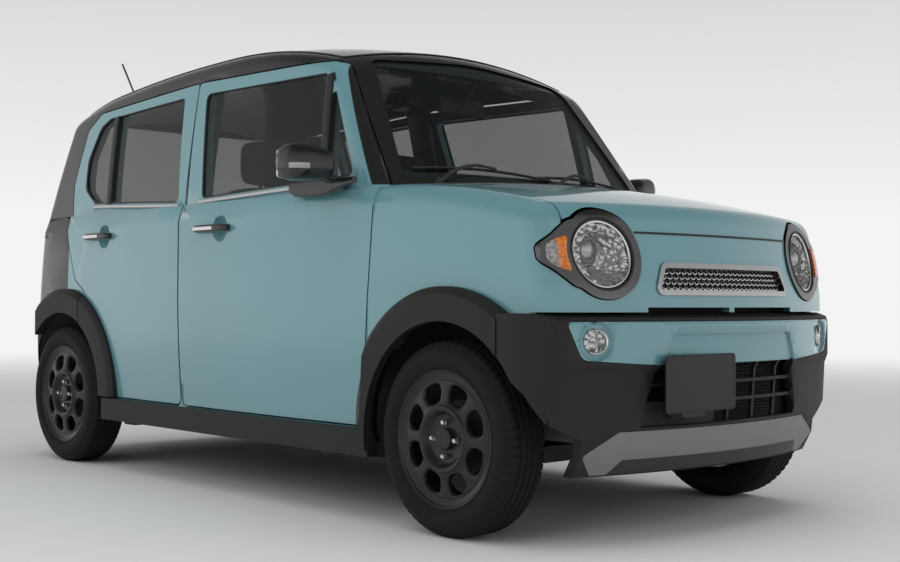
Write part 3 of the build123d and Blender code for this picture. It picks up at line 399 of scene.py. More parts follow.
FINISH = {
    "body_blue": two_tone("teal_paint", arch_mask),
    "shell": shell_paint(),
    "gloss_black": black_gloss("black_gloss"),
    "charcoal": moulded("charcoal_plastic", 0.009, 0.018, 0.56),
    "dark_mesh": black_gloss("mesh_black"),
    "chrome": bright_metal("chrome", 0.78, 0.07),
    "satin_metal": bright_metal("satin_metal", 0.55, 0.28),
    "smoked_metal": bright_metal("smoked_metal", 0.15, 0.22),
    "trim_chrome": bright_metal("trim_chrome", 0.46, 0.1),
    "reflector": reflector(),
    "skid": skid_finish(),
    "tail_lens": tail_lens(),
    "indicator_lens": indicator_lens(),
    "front_door": two_tone("front_door_paint", pillar_mask),
    "tailgate": two_tone("tailgate_paint", upper_mask),
    "clear_lens": clear_lens(),
    "glass": window_glass(),
    "screen": screen_glass(),
    "plate_black": moulded("plate_black", 0.01, 0.016, 0.38, 1600, 0.0001),
    "tyre": rubber(),
    "wheel_black": moulded("wheel_black", 0.012, 0.02, 0.24, 1800, 0.00005),
    "running_gear": cast("running_gear", 0.02, 0.06, 0.5),
    "engine_alloy": cast("engine_alloy", 0.25, 0.45, 0.9),
    "cabin_dark": moulded("cabin_plastic", 0.02, 0.034, 0.62),
    "seat_fabric": weave("seat_cloth", 0.02, 0.06),
    "seal_rubber": moulded("seal_rubber", 0.01, 0.016, 0.42, 1200, 0.0001),
    "eye_glass": bright_metal("eye_glass", 0.42, 0.02),
    "lamp_strip": lamp_strip(),
    "mirror_glass": bright_metal("mirror_glass", 0.8, 0.01),
}


# Mesh helpers
INSIDE_FACING, OUTER_FACING = -0.35, 0.35
SUNK = 0.002
PIECE_SHARP, SOLID_SHARP = 35, 28
CORNER_SHARE, CORNER_STEPS = 0.48, 9


def read(items, key, kind=float):
    """One property of all points or triangles of a mesh, three numbers to a row."""
    values = np.zeros(len(items) * 3, kind)
    items.foreach_get(key, values)
    return values.reshape(-1, 3)


def xyz(x, y, z):
    """Points from their three parts, each an array or one number for all."""
    return np.stack(np.broadcast_arrays(x, y, z), -1)


def set_at(points):
    """A place for each point, unturned, for repeated()."""
    places = np.tile(np.eye(4), (len(points), 1, 1))
    places[:, :3, 3] = points
    return places


def full_turn(count):
    """Angles of a full turn in even steps."""
    return np.linspace(0, 2 * math.pi, count, endpoint=False)


def unit(vectors):
    """The vectors at length one."""
    return vectors / np.linalg.norm(vectors, axis=-1, keepdims=True)


def placed(name, data):
    """A new object of the scene."""
    obj = bpy.data.objects.new(name, data)
    bpy.context.scene.collection.objects.link(obj)
    return obj


def lattice(points, wrap_u=False, wrap_v=False):
    """Vertices and quads of a grid of points: rows run along u, columns along v."""
    count_u, count_v = points.shape[:2]
    u, v = np.meshgrid(
        np.arange(count_u if wrap_u else count_u - 1),
        np.arange(count_v if wrap_v else count_v - 1),
        indexing="ij",
    )
    next_u = (u + 1) % count_u
    next_v = (v + 1) % count_v
    corners = [u * count_v + v, next_u * count_v + v, next_u * count_v + next_v, u * count_v + next_v]
    return points.reshape(-1, 3), np.stack(corners, -1).reshape(-1, 4)


def repeated(shape, places):
    """One shape set at many places: vertices times each place's turn, plus its offset."""
    verts, faces = shape
    turned = np.einsum("kij,nj->kni", places[:, :3, :3], verts) + places[:, None, :3, 3]
    steps = np.arange(len(places))[:, None, None] * len(verts)
    return turned.reshape(-1, 3), (faces[None] + steps).reshape(-1, faces.shape[1])


def together(*shapes):
    """Several shapes of four-cornered faces as one."""
    offsets = np.cumsum([0] + [len(verts) for verts, _ in shapes[:-1]])
    verts = np.concatenate([verts for verts, _ in shapes])
    return verts, np.concatenate([faces + step for (_, faces), step in zip(shapes, offsets)])


def welded(mesh, outward):
    """Merges doubled points, drops dead faces and, where asked, turns the faces outward."""
    edit = bmesh.new()
    edit.from_mesh(mesh)
    bmesh.ops.remove_doubles(edit, verts=edit.verts, dist=1e-5)
    bmesh.ops.dissolve_degenerate(edit, edges=edit.edges, dist=1e-6)
    if outward:
        bmesh.ops.recalc_face_normals(edit, faces=edit.faces)
    edit.to_mesh(mesh)
    edit.free()


def finished(name, mesh, finish, body, sharp):
    """An object that is smooth up to an angle, with its finish and its body."""
    mesh.materials.clear()
    mesh.materials.append(FINISH[finish])
    mesh.shade_smooth()
    mesh.set_sharp_from_angle(angle=math.radians(sharp))
    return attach(placed(name, mesh), body)


def piece(name, shape, finish, body="body", sharp=PIECE_SHARP, stands_for=None):
    """A new piece from vertices and faces, riding on a body; it may stand for a solid."""
    mesh = bpy.data.meshes.new(name)
    mesh.from_pydata(shape[0].tolist(), [], shape[1].tolist())
    welded(mesh, True)
    obj = finished(name, mesh, finish, body, sharp)
    if stands_for:
        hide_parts(stands_for)
    return obj


def paired(name, shape, finish, body="body", sharp=PIECE_SHARP, stands_for=""):
    """A piece on the left and its mirror image on the right; {side} in the names gives the side."""
    for side, sign in SIDES:
        named, carrier, solid = (text.format(side=side) for text in (name, body, stands_for))
        piece(named, (shape[0] * (1, sign, 1), shape[1]), finish, carrier, sharp, solid)


def mark_inside(mesh, axis):
    """Writes 1 on the faces whose normal points to the car's middle along that axis, 0 on the others."""
    towards = read(mesh.polygons, "normal")[:, axis] * np.sign(read(mesh.polygons, "center")[:, axis])
    mark = mesh.attributes.new("inside", "FLOAT", "FACE")
    mark.data.foreach_set("value", (towards < INSIDE_FACING).astype(np.float32))


def cut_above(mesh, level):
    """Takes away what stands above a level."""
    edit = bmesh.new()
    edit.from_mesh(mesh)
    every = edit.verts[:] + edit.edges[:] + edit.faces[:]
    plane = {"plane_co": (0, 0, level), "plane_no": (0, 0, 1)}
    bmesh.ops.bisect_plane(edit, geom=every, clear_outer=True, **plane)
    edit.to_mesh(mesh)
    edit.free()


def dressed(node, finish, inside_axis=None, below=None):
    """A welded, smooth-shaded copy of a solid's mesh that stands for it, whole or below a level."""
    source = NODES[node]
    mesh = source.data.copy()
    welded(mesh, False)
    if below is not None:
        cut_above(mesh, below)
    if inside_axis is not None:
        mark_inside(mesh, inside_axis)
    obj = finished(node + "_skin", mesh, finish, source["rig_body"], SOLID_SHARP)
    even = obj.modifiers.new("even_normals", "WEIGHTED_NORMAL")
    even.keep_sharp = True
    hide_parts(node)
    return obj


def turned(profile, centre, axis, count):
    """A profile of (distance along the axis, radius) carried round the axis through the centre."""
    axis = unit(np.asarray(axis, float))
    aside = unit(np.cross(axis, (0, 0, 1)))
    over = np.cross(axis, aside)
    angle = full_turn(count)[:, None, None]
    along, radius = np.asarray(profile, float).T
    ring = np.cos(angle) * aside + np.sin(angle) * over
    points = np.asarray(centre) + along[None, :, None] * axis + radius[None, :, None] * ring
    return lattice(points, wrap_u=True)


def capped(points):
    """Sections in a row, each end closed in the middle of its last section."""
    first, last = (np.repeat(points[[row]].mean(1, keepdims=True), points.shape[1], 1) for row in (0, -1))
    return lattice(np.concatenate([first, points, last]), wrap_v=True)


def swept(path, profile, up=(0, 0, 1), scale=None):
    """A closed profile of (aside, over) carried along a path, closed at both ends."""
    path = np.asarray(path, float)
    ahead = unit(np.gradient(path, axis=0))
    aside = unit(np.cross(ahead, up))
    over = np.cross(aside, ahead)
    size = np.ones(len(path)) if scale is None else scale
    section = profile[None] * size[:, None, None]
    points = path[:, None] + section[..., :1] * aside[:, None] + section[..., 1:] * over[:, None]
    return capped(points)


def oval(width, height, count=16, power=2):
    """A superellipse of that width and height, as a closed profile."""
    angle = full_turn(count)
    cos, sin = np.cos(angle), np.sin(angle)
    x = np.sign(cos) * np.abs(cos) ** (2 / power) * width / 2
    y = np.sign(sin) * np.abs(sin) ** (2 / power) * height / 2
    return np.stack([x, y], -1)


def smooth_line(points, count):
    """A path through a few points: a spline by chord length, sampled evenly."""
    points = np.asarray(points, float)
    chord = np.r_[0, np.cumsum(np.linalg.norm(np.diff(points, axis=0), axis=1))]
    want = np.linspace(0, chord[-1], count)
    slope = np.gradient(points, chord, axis=0)
    spot = np.clip(np.searchsorted(chord, want) - 1, 0, len(points) - 2)
    span = (chord[spot + 1] - chord[spot])[:, None]
    t = ((want - chord[spot])[:, None]) / span
    start, end = points[spot], points[spot + 1]
    leave, arrive = slope[spot] * span, slope[spot + 1] * span
    return (
        (2 * t**3 - 3 * t**2 + 1) * start + (t**3 - 2 * t**2 + t) * leave
        + (3 * t**2 - 2 * t**3) * end + (t**3 - t**2) * arrive
    )


class Skin:
    """The outer face of solids: a polynomial height over two axes, by least squares without sunk points."""

    def __init__(self, nodes, axis, sign, degree, low=(-9, -9), high=(9, 9)):
        self.others = [a for a in range(3) if a != axis]
        points = np.concatenate([self.outer(NODES[node].data, axis, sign) for node in nodes])
        flat = points[:, self.others]
        keep = np.all((flat > low) & (flat < high), axis=1)
        self.powers = [(i, j) for i in range(degree + 1) for j in range(degree + 1 - i)]
        flat, height = flat[keep], points[keep, axis]
        self.fit = np.linalg.lstsq(self.terms(*flat.T), height, rcond=None)[0]
        proud = (height - self(*flat.T)) * sign > -SUNK
        self.fit = np.linalg.lstsq(self.terms(*flat[proud].T), height[proud], rcond=None)[0]

    def outer(self, mesh, axis, sign):
        facing = read(mesh.polygons, "normal")[:, axis] * sign > OUTER_FACING
        return read(mesh.vertices, "co")[read(mesh.polygons, "vertices", int)[facing].ravel()]

    def terms(self, a, b):
        return np.stack([np.asarray(a) ** i * np.asarray(b) ** j for i, j in self.powers], -1)

    def __call__(self, a, b):
        a, b = np.broadcast_arrays(np.asarray(a, float), np.asarray(b, float))
        return self.terms(a, b) @ self.fit


def rounded(points):
    """A closed outline of (a, b, corner) points: each corner is a Bezier curve over that length."""
    corner = np.asarray(points, float)
    spot, cut = corner[:, :2], corner[:, 2:]
    before, after = np.roll(spot, 1, 0) - spot, np.roll(spot, -1, 0) - spot
    start, end = (
        spot + way * np.minimum(cut / np.linalg.norm(way, axis=1, keepdims=True), CORNER_SHARE)
        for way in (before, after)
    )
    t = np.linspace(0, 1, CORNER_STEPS)[None, :, None]
    curve = (1 - t) ** 2 * start[:, None] + 2 * t * (1 - t) * spot[:, None] + t**2 * end[:, None]
    return curve.reshape(-1, 2)


def ringed(path, profile, outward):
    """A closed profile of (across, out) carried round a closed path whose outward side is given."""
    ahead = unit(np.roll(path, -1, 0) - np.roll(path, 1, 0))
    across = unit(np.cross(ahead, outward))
    out = np.cross(across, ahead)
    points = path[:, None] + profile[None, :, :1] * across[:, None] + profile[None, :, 1:] * out[:, None]
    return lattice(points, wrap_u=True, wrap_v=True)


SEAM_DEPTH, SEAM_HALF = 0.075, 0.035


def pillow(centre, half, boxy=(0.45, 0.45), crown=0, count=(48, 32), seams=()):
    """A padded block: a superellipsoid with crowned faces, drawn in along sewn lines across Y."""
    u = np.linspace(-math.pi, math.pi, count[0], endpoint=False)[:, None]
    v = np.linspace(-math.pi / 2, math.pi / 2, count[1])[None, :]
    power = lambda wave, share: np.sign(wave) * np.abs(wave) ** share
    x = power(np.cos(v), boxy[0]) * power(np.cos(u), boxy[1])
    y = power(np.cos(v), boxy[0]) * power(np.sin(u), boxy[1])
    z = power(np.sin(v), boxy[0]) + 0 * u
    swell = 1 + crown * (1 - x**2) * (1 - y**2) * (1 - z**2)
    for seam in seams:
        swell = swell * (1 - SEAM_DEPTH * np.exp(-(((y - seam) / SEAM_HALF) ** 2)))
    points = xyz(x, y, z) * swell[..., None] * np.asarray(half) + np.asarray(centre)
    return lattice(points, wrap_u=True)


# Solids that keep their form: finish, the record's slot, nodes
DRESS = [
    ("shell", "body_blue", "lower_body"),
    ("body_blue", "body_blue", "wings nose_panel bumper_bar"),
    ("gloss_black", "gloss_black", "upper_frame roof_panel"),
    ("charcoal", "charcoal", "front_bumper rear_bumper claddings cowl"),
    ("skid", "grey_plastic", "skid_plate"),
    ("dark_mesh", "dark_mesh", "grille"),
    ("trim_chrome", "chrome", "grille_surround"),
    ("smoked_metal", "chrome", "headlamp_bezels"),
    ("reflector", "chrome", "headlamp_bowls"),
    ("clear_lens", "clear_lens", "headlamp_lenses"),
    ("reflector", "clear_lens", "fog_lamps"),
    ("tail_lens", "red_lens", "tail_lamps"),
    ("screen", "glass", "windscreen"),
    ("glass", "glass", "tailgate_glass"),
    ("running_gear", "running_gear", "front_suspension rear_axle knuckle_left knuckle_right"),
    ("engine_alloy", "engine_alloy", "engine"),
    ("cabin_dark", "cabin_dark", "dashboard steering_wheel inside_mirror antenna"),
]

for finish, slot, nodes in DRESS:
    for node in nodes.split():
        dressed(node, finish)
for end in ENDS:
    for side, _ in SIDES:
        dressed(f"door_{end}_{side}_glass", "glass")
for side, _ in SIDES:
    dressed(f"door_front_{side}_panel", "front_door", inside_axis=1)
    dressed(f"door_rear_{side}_panel", "body_blue", inside_axis=1)
dressed("hood_panel", "body_blue", inside_axis=2)
dressed("tailgate_panel", "tailgate", inside_axis=0)

# Wheels
TYRE_SECTION = [
    (0.1905, -0.062), (0.207, -0.071), (0.224, -0.08), (0.24, -0.0825), (0.256, -0.08), (0.27, -0.0715),
    (0.2815, -0.064), (0.2865, -0.056), (0.288, -0.046),
]
GROOVES_Y = (-0.036, -0.012, 0.012, 0.036)
GROOVE_HALF, GROOVE_DEEP = 0.0034, 0.0065
TREAD_PITCHES, TREAD_STEPS, TREAD_SLANT = 68, 476, 9
CUT_HALF, CUT_MIDDLE, CUT_SHARE = 0.13, 0.25, 0.72
WALL_STEPS, CROWN_STEPS = 26, 48
TREAD_R, SHOULDER_R, SHOULDER_Y = 0.266, 0.268, 0.04
BEAD_LOW_R, BEAD_HIGH_R, BEAD_START_R = 0.212, 0.226, 0.2
BEAD_LIFT, BEAD_WAVE = 0.0006, 900


def tyre(end):
    """Tyre section carried round the axle; the crown drops in ring grooves and in slanted shoulder cuts."""
    half = np.asarray(TYRE_SECTION)
    wall = smooth_line(half, WALL_STEPS)
    across = np.linspace(half[-1, 1], -half[-1, 1], CROWN_STEPS)[1:-1]
    crown = np.stack([np.full(len(across), TYRE_R), across], -1)
    section = np.concatenate([wall, crown, wall[::-1] * (1, -1)])
    radius, width = section[None, :, 0], section[None, :, 1]
    angle = full_turn(TREAD_STEPS)[:, None]
    rings = np.exp(-((width[..., None] - np.array(GROOVES_Y)) / GROOVE_HALF) ** 4).sum(-1)
    phase = (angle * TREAD_PITCHES / (2 * math.pi) + TREAD_SLANT * np.abs(width)) % 1
    outer = radius > SHOULDER_R
    shoulder = (np.abs(width) > SHOULDER_Y) & outer
    cuts = np.exp(-(((phase - 0.5) / CUT_HALF) ** 4)) * (CUT_MIDDLE + (1 - CUT_MIDDLE) * shoulder) * outer
    beaded = (radius > BEAD_LOW_R) & (radius < BEAD_HIGH_R)
    beads = BEAD_LIFT * np.cos((radius - BEAD_START_R) * BEAD_WAVE) * beaded
    radius = radius - GROOVE_DEEP * np.maximum(rings, CUT_SHARE * cuts) * (radius > TREAD_R)
    ring = xyz(radius * np.cos(angle), width + np.sign(width) * beads, radius * np.sin(angle))
    shape = lattice(ring + AXLE[end], True, True)
    body = f"wheel_{end}_{{side}}"
    paired(f"tyre_{end}_{{side}}_tread", shape, "tyre", body, 50, f"tyre_{end}_{{side}}")


NUT_PROFILE = [
    (-0.004, 0), (-0.004, 0.0105), (0.01, 0.0105), (0.012, 0.009), (0.018, 0.008), (0.021, 0.0045),
    (0.022, 0),
]
CAP_PROFILE = [
    (-0.004, 0.0335), (0.011, 0.0335), (0.015, 0.031), (0.0165, 0.026), (0.0155, 0.0245), (0.0165, 0),
]
DISC_IN, DISC_MID, DISC_OUT, DISC_CELLS = 0.1, 0.1375, 0.171, 8
DISC_R = (0.1, 0.106, 0.114, 0.14, 0.171)
DISC_Y = (0.0745, 0.0715, 0.0695, 0.0675, 0.063)
HOLE_HALF_R, HOLE_HALF_A, HOLE_POWER = 0.0295, 0.262, 2.5
DISC_ROWS = [
    (1, 0), (0.7, 0), (0.45, 0), (0.28, 0.0006), (0.15, 0.0022), (0.06, 0.005), (0, 0.0095),
    (0, 0.015), (0.06, 0.015), (0.2, 0.007), (1, 0.006),
]
HUB_PROFILE = [
    (0.056, 0.0335), (0.056, 0.066), (0.0572, 0.0705), (0.0605, 0.0738), (0.0695, 0.079), (0.0768, 0.085),
    (0.0796, 0.0905), (0.0793, 0.0955), (0.0768, 0.0985), (0.074, 0.1005), (0.067, 0.099), (0.046, 0.07),
    (0.012, 0.0335), (0.056, 0.0335),
]
BARREL_PROFILE = [
    (0.0632, 0.17), (0.0608, 0.1735), (0.0596, 0.1765), (0.06, 0.18), (0.0628, 0.184), (0.064, 0.1885),
    (0.0655, 0.194), (0.069, 0.197), (0.0718, 0.2), (0.0722, 0.2025), (0.0705, 0.204), (0.067, 0.2035),
    (0.063, 0.1985), (0.061, 0.1905), (-0.061, 0.1905), (-0.068, 0.203), (-0.071, 0.2), (-0.06, 0.185),
    (-0.02, 0.183), (0.04, 0.1745), (0.056, 0.169), (0.0632, 0.17),
]


def wheel_disc():
    """Cells round the hub; rows run from a cell's border to its round window, over the edge and back."""
    turn = full_turn(64)
    cos, sin = np.cos(turn), np.sin(turn)
    square = 1 / np.maximum(np.abs(cos), np.abs(sin))
    round_off = (np.abs(cos) ** HOLE_POWER + np.abs(sin) ** HOLE_POWER) ** (-1 / HOLE_POWER)
    border_r = DISC_MID + cos * square * np.where(cos > 0, DISC_OUT - DISC_MID, DISC_MID - DISC_IN)
    border_a = sin * square * math.pi / DISC_CELLS
    hole_r = DISC_MID + cos * round_off * HOLE_HALF_R
    hole_a = sin * round_off * HOLE_HALF_A
    share, drop = np.array(DISC_ROWS).T[..., None]
    radius = hole_r + (border_r - hole_r) * share
    angle = hole_a + (border_a - hole_a) * share + math.pi / DISC_CELLS
    height = np.interp(radius, DISC_R, DISC_Y) - drop
    cell = lattice(xyz(radius * np.cos(angle), height, radius * np.sin(angle)), wrap_v=True)
    step = full_turn(DISC_CELLS)
    places = set_at(np.zeros((DISC_CELLS, 3)))
    places[:, 0, 0] = places[:, 2, 2] = np.cos(step)
    places[:, 2, 0] = np.sin(step)
    places[:, 0, 2] = -np.sin(step)
    return repeated(cell, places)


def rim(end):
    """A pressed wheel: windowed disc, raised hub ring with its hollow, and the rolled barrel."""
    hub, barrel = (turned(profile, AXLE[end], ASIDE, 128) for profile in (HUB_PROFILE, BARREL_PROFILE))
    disc = wheel_disc()
    shape = together((disc[0] + AXLE[end], disc[1]), hub, barrel)
    body = f"wheel_{end}_{{side}}"
    paired(f"rim_{end}_{{side}}_pressed", shape, "wheel_black", body, 40, f"rim_{end}_{{side}}")


def wheel_details(end):
    """Four bright nuts and a plain centre cap on both wheels of an axle."""
    hub = AXLE[end] + (0, HUB_FACE, 0)
    body = f"wheel_{end}_{{side}}"
    angle = full_turn(NUTS)
    spots = xyz(np.cos(angle), 0, np.sin(angle)) * LUG_CIRCLE_R + hub
    nuts = repeated(turned(NUT_PROFILE, (0, 0, 0), ASIDE, 6), set_at(spots))
    paired(f"nuts_{end}_{{side}}", nuts, "chrome", body, sharp=20)
    paired(f"cap_{end}_{{side}}", turned(CAP_PROFILE, hub, ASIDE, 64), "wheel_black", body)


for end in ENDS:
    tyre(end)
    rim(end)
    wheel_details(end)

# Front: lamps, grille and plate
NOSE = Skin(["nose_panel"], 0, 1, 4, (-0.5, 0.68), (0.5, 0.885))
MESH_FACE = Skin(["grille"], 0, 1, 2)
LAMP_FACE = Skin(["headlamp_lenses"], 0, 1, 2, (0.3, 0.6), (0.7, 1))
SCREEN = Skin(["windscreen"], 0, 1, 4)
GLASS_SIDE = Skin(["door_front_left_glass", "door_rear_left_glass"], 1, 1, 3)
DOOR_SIDE = Skin(["door_front_left_panel", "door_rear_left_panel"], 1, 1, 4, (-1.2, 0.5), (0.78, 1.03))
BEZEL = Skin(["headlamp_bezels"], 0, 1, 4, (0.36, 0.68), (0.7, 0.97))
TAIL = Skin(["tailgate_panel"], 0, -1, 3, (-0.5, 0.7), (0.5, 1.04))
REAR_GLASS = Skin(["tailgate_glass"], 0, -1, 2)
ROOF = Skin(["roof_panel"], 2, 1, 5)
EYE_SHIFT, EYE_PROUD, EYE_DOME = (-0.052, 0.02, 0.012), (0.008, 0, 0), (0.016, 0.029)
CUP_SHIFT, CUP_DOME = (0.014, -0.052, -0.03), (0.036, 0.03)
LAMP_BEAD = oval(0.009, 0.007, 10)
LAMP_SHROUD = [
    (-0.02, 0.03), (0.012, 0.03), (0.016, 0.033), (0.012, 0.037), (0.004, 0.0385), (0.002, 0.045),
    (0.008, 0.05), (0.004, 0.054), (-0.012, 0.056),
]
LAMP_COLLAR = [(-0.006, 0.029), (0.019, 0.029), (0.02, 0.033), (0.0175, 0.04), (0.01, 0.041), (-0.006, 0.041)]
LAMP_RINGS = (("joint", 0.1, 0.001, "seal_rubber", "charcoal"), ("ring", 0.093, 0.006, "chrome", "chrome"))
INDICATOR = [
    (0.604, 0.876, 0.01), (0.65, 0.862, 0.02), (0.669, 0.846, 0.015), (0.669, 0.804, 0.015),
    (0.65, 0.788, 0.02), (0.604, 0.774, 0.01), (0.614, 0.825, 0.03),
]
INDICATOR_ROWS = [(1, -0.006), (1, 0.001), (0.93, 0.0035), (0.6, 0.0045), (0, 0.005)]


def patch(outline, height, rows):
    """A low cushion over an outline of (y, z): rows of (scale about the middle, lift over the face below)."""
    flat = rounded(outline)
    middle = flat.mean(0)
    scale, lift = np.asarray(rows, float).T[..., None]
    y = middle[0] + (flat[None, :, 0] - middle[0]) * scale
    z = middle[1] + (flat[None, :, 1] - middle[1]) * scale
    return lattice(xyz(height(y, z) + lift, y, z), wrap_v=True)


def level_face(x):
    """A flat upright face at one X, for patches that lie on no solid."""
    return lambda y, z: x + 0 * y


def dome(rise, radius, count):
    """A quarter of an ellipse as a profile of (distance, radius), from its rim to its top."""
    angle = np.linspace(0, math.pi / 2, count)
    return np.stack([rise * np.sin(angle), radius * np.cos(angle)], -1)


def headlamp():
    """Projector, its shroud, bright rings, the dark joint and the indicator's cover, on each lamp."""
    eye = np.array([float(LAMP_FACE(LAMP_Y, LAMP_Z)), LAMP_Y, LAMP_Z]) + EYE_SHIFT
    ball, cup = dome(*EYE_DOME, 14), dome(*CUP_DOME, 14)[:, ::-1] * (-1, 1)
    paired("lamp_eye_{side}", turned(ball, eye + EYE_PROUD, AHEAD, 48), "eye_glass")
    paired("lamp_shroud_{side}", turned(LAMP_SHROUD, eye, AHEAD, 64), "chrome")
    paired("lamp_collar_{side}", turned(LAMP_COLLAR, eye, AHEAD, 64), "dark_mesh")
    paired("lamp_reflector_{side}", turned(cup, eye + CUP_SHIFT, AHEAD, 40), "chrome")
    turn = full_turn(96)
    for name, radius, sink, finish, slot in LAMP_RINGS:
        y, z = LAMP_Y + radius * np.cos(turn), LAMP_Z + radius * np.sin(turn)
        ring = ringed(xyz(BEZEL(y, z) - sink, y, z), LAMP_BEAD, AHEAD)
        paired(f"lamp_{name}_{{side}}", ring, finish)
    cover = patch(INDICATOR, BEZEL, INDICATOR_ROWS)
    paired("indicator_cover_{side}", cover, "indicator_lens", "body", stands_for="indicators")


CELL_PITCH, CELL_STEP, CELL_MID_Z = 0.024, 0.015, 0.7585
CELL_ROWS, CELL_COLUMNS = 4, 26
CELL_HALF, CELL_DROP = 0.0102, 0.0086
LIP, LIP_ARC, LIP_PROUD, LIP_RAISE = oval(0.0036, 0.008, 6), 0.12, 0.0008, 0.001
GRILLE_HALF, GRILLE_FOOT_Z, GRILLE_LEAN = 0.302, 0.728, 0.46


def grille_scales():
    """Bright U-shaped lips in staggered rows, set on the lower edge of every grille cell."""
    turn = np.linspace(LIP_ARC, 1 - LIP_ARC, 11) * math.pi
    lip = swept(xyz(0, CELL_HALF * np.cos(turn), -CELL_DROP * np.sin(turn)), LIP, up=AHEAD)
    row, column = np.meshgrid(np.arange(CELL_ROWS), np.arange(CELL_COLUMNS), indexing="ij")
    y = (column - (CELL_COLUMNS - 1) / 2 + 0.5 * (row % 2)) * CELL_PITCH
    z = CELL_MID_Z + (row - (CELL_ROWS - 1) / 2) * CELL_STEP
    inside = np.abs(y) < GRILLE_HALF - (z - GRILLE_FOOT_Z) * GRILLE_LEAN
    y, z = y[inside], z[inside]
    places = set_at(xyz(MESH_FACE(y, z) + LIP_PROUD, y, z + LIP_RAISE))
    piece("grille_lips", repeated(lip, places), "chrome")


FOG_Y, FOG_Z, FOG_TURN, FOG_SINK, FOG_DOME = 0.555, 0.582, 0.55, 0.01, (0.007, 0.03)
FOG_RING = [(-0.004, 0.03), (0.004, 0.0305), (0.0055, 0.0325), (0.004, 0.035), (-0.004, 0.0355)]


def fog_lamp():
    """A domed lens in a bright ring, over the small reflector."""
    spot = np.array([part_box("fog_lamps")[1].x - FOG_SINK, FOG_Y, FOG_Z])
    face = np.array([math.cos(FOG_TURN), math.sin(FOG_TURN), 0])
    paired("fog_ring_{side}", turned(FOG_RING, spot, face, 56), "chrome")
    paired("fog_dome_{side}", turned(dome(*FOG_DOME, 10), spot, face, 48), "clear_lens")


# Outline, place and rows of the flat dark wall behind the lower opening: painted shade
SHADE_WALL = [(-0.47, 0.33, 0.02), (0.47, 0.33, 0.02), (0.47, 0.56, 0.02), (-0.47, 0.56, 0.02)]
SHADE_WALL_X, SHADE_WALL_ROWS = 1.585, [(0, -0.004), (1, -0.004), (1, 0), (0, 0)]
FIN_X, FIN_HALF, FIN_FOOT_Z = 1.606, 0.38, 0.338
FIN, FIN_LEAN, FIN_BOW = oval(0.014, 0.0036, 8), 0.33, 0.2
FIN_Z = np.linspace(0.346, 0.506, 17)
PLATE = [(-0.345, 0.3755, 0.014), (-0.015, 0.3755, 0.014), (-0.015, 0.5405, 0.014), (-0.345, 0.5405, 0.014)]
PLATE_X = 1.69
# Half width and height of the dark strip that paints the shade of the hood's front shut gap, and the nose's
# top height
HOOD_GAP_SHADE_HALF, HOOD_GAP_SHADE_Z, NOSE_TOP_Z = 0.374, 0.89, 0.889
PLATE_ROWS = [
    (0, -0.001), (1, -0.001), (1, 0.0018), (0.985, 0.0028), (0.955, 0.0028), (0.945, 0.0018),
    (0, 0.0018),
]


def cooling_fins():
    """Thin level blades across the lower opening, narrower towards the top, before a flat dark wall that is
    painted shade for the dark depth of the opening.
    """
    blades = []
    for z in FIN_Z:
        half = FIN_HALF - (z - FIN_FOOT_Z) * FIN_LEAN
        y = np.linspace(-half, half, 9)
        blades.append(swept(xyz(FIN_X - FIN_BOW * y**2, y, z), FIN))
    # A dark sheet just behind the blades: painted shade that makes the opening read dark
    back = patch(SHADE_WALL, level_face(SHADE_WALL_X), SHADE_WALL_ROWS)
    piece("cooling_fins", together(back, *blades), "cabin_dark")


def plate():
    """A blank plate with a raised rim, on a bracket that reaches back to the bumper."""
    face = patch(PLATE, level_face(PLATE_X), PLATE_ROWS)
    piece("plate_blank", face, "plate_black", "body", 8, "number_plate")
    arms = [swept([(1.64, y, 0.525), (1.691, y, 0.525)], oval(0.05, 0.03, 20, 5)) for y in (-0.27, -0.09)]
    arms.append(swept([(1.64, -0.215, 0.372), (1.69, -0.215, 0.378)], oval(0.11, 0.034, 20, 6)))
    piece("plate_bracket", together(*arms), "cabin_dark")


def hood_gap_shade():
    """A thin dark strip along the hood's front edge: painted shade for the shadow in the shut gap between
    hood and nose.
    """
    y = np.linspace(-HOOD_GAP_SHADE_HALF, HOOD_GAP_SHADE_HALF, 61)
    # The strip lies on the nose's face at the seam: a dark line of painted shade where the gap is shadowed
    lip = swept(xyz(NOSE(y, NOSE_TOP_Z) + 0.0002, y, HOOD_GAP_SHADE_Z), oval(0.004, 0.0062, 10, 4))
    piece("hood_gap_shade_strip", lip, "seal_rubber", "hood")


headlamp()
fog_lamp()
grille_scales()
cooling_fins()
plate()
hood_gap_shade()

# Doors: seals, handles and mirrors
PANES = {
    "front": [
        [(-0.222, 1.068, 0.025), (0.506, 1.089, 0.008), (0.452, 1.463, 0.008), (-0.312, 1.477, 0.025)],
        [(0.542, 1.09, 0.01), (0.684, 1.094, 0.02), (0.49, 1.452, 0.014)],
    ],
    "rear": [
        [(-0.39, 1.062, 0.02), (-0.95, 1.088, 0.008), (-1.016, 1.463, 0.008), (-0.474, 1.48, 0.02)],
        [
            (-0.984, 1.09, 0.008), (-1.1, 1.092, 0.06), (-1.216, 1.16, 0.05), (-1.238, 1.29, 0.06),
            (-1.17, 1.432, 0.05), (-1.09, 1.463, 0.02), (-1.048, 1.464, 0.008),
        ],
    ],
}
SEAL = oval(0.013, 0.009, 8, 3)
SEAL_PROUD, BAR_PROUD, BELT_PROUD = 0.003, 0.006, 0.01
DIVIDERS = {"front": [(0.524, 1.08), (0.473, 1.455)], "rear": [(-0.967, 1.08), (-1.03, 1.46)]}
BELTS = {
    "front": [(0.7, 1.083), (0.506, 1.077), (0.14, 1.066), (-0.232, 1.056)],
    "rear": [(-0.378, 1.05), (-0.67, 1.063), (-0.95, 1.076), (-1.1, 1.081)],
}
FOOT_X = (0.4, 0.43, 0.565, 0.625, 0.69, 0.725, 0.75)
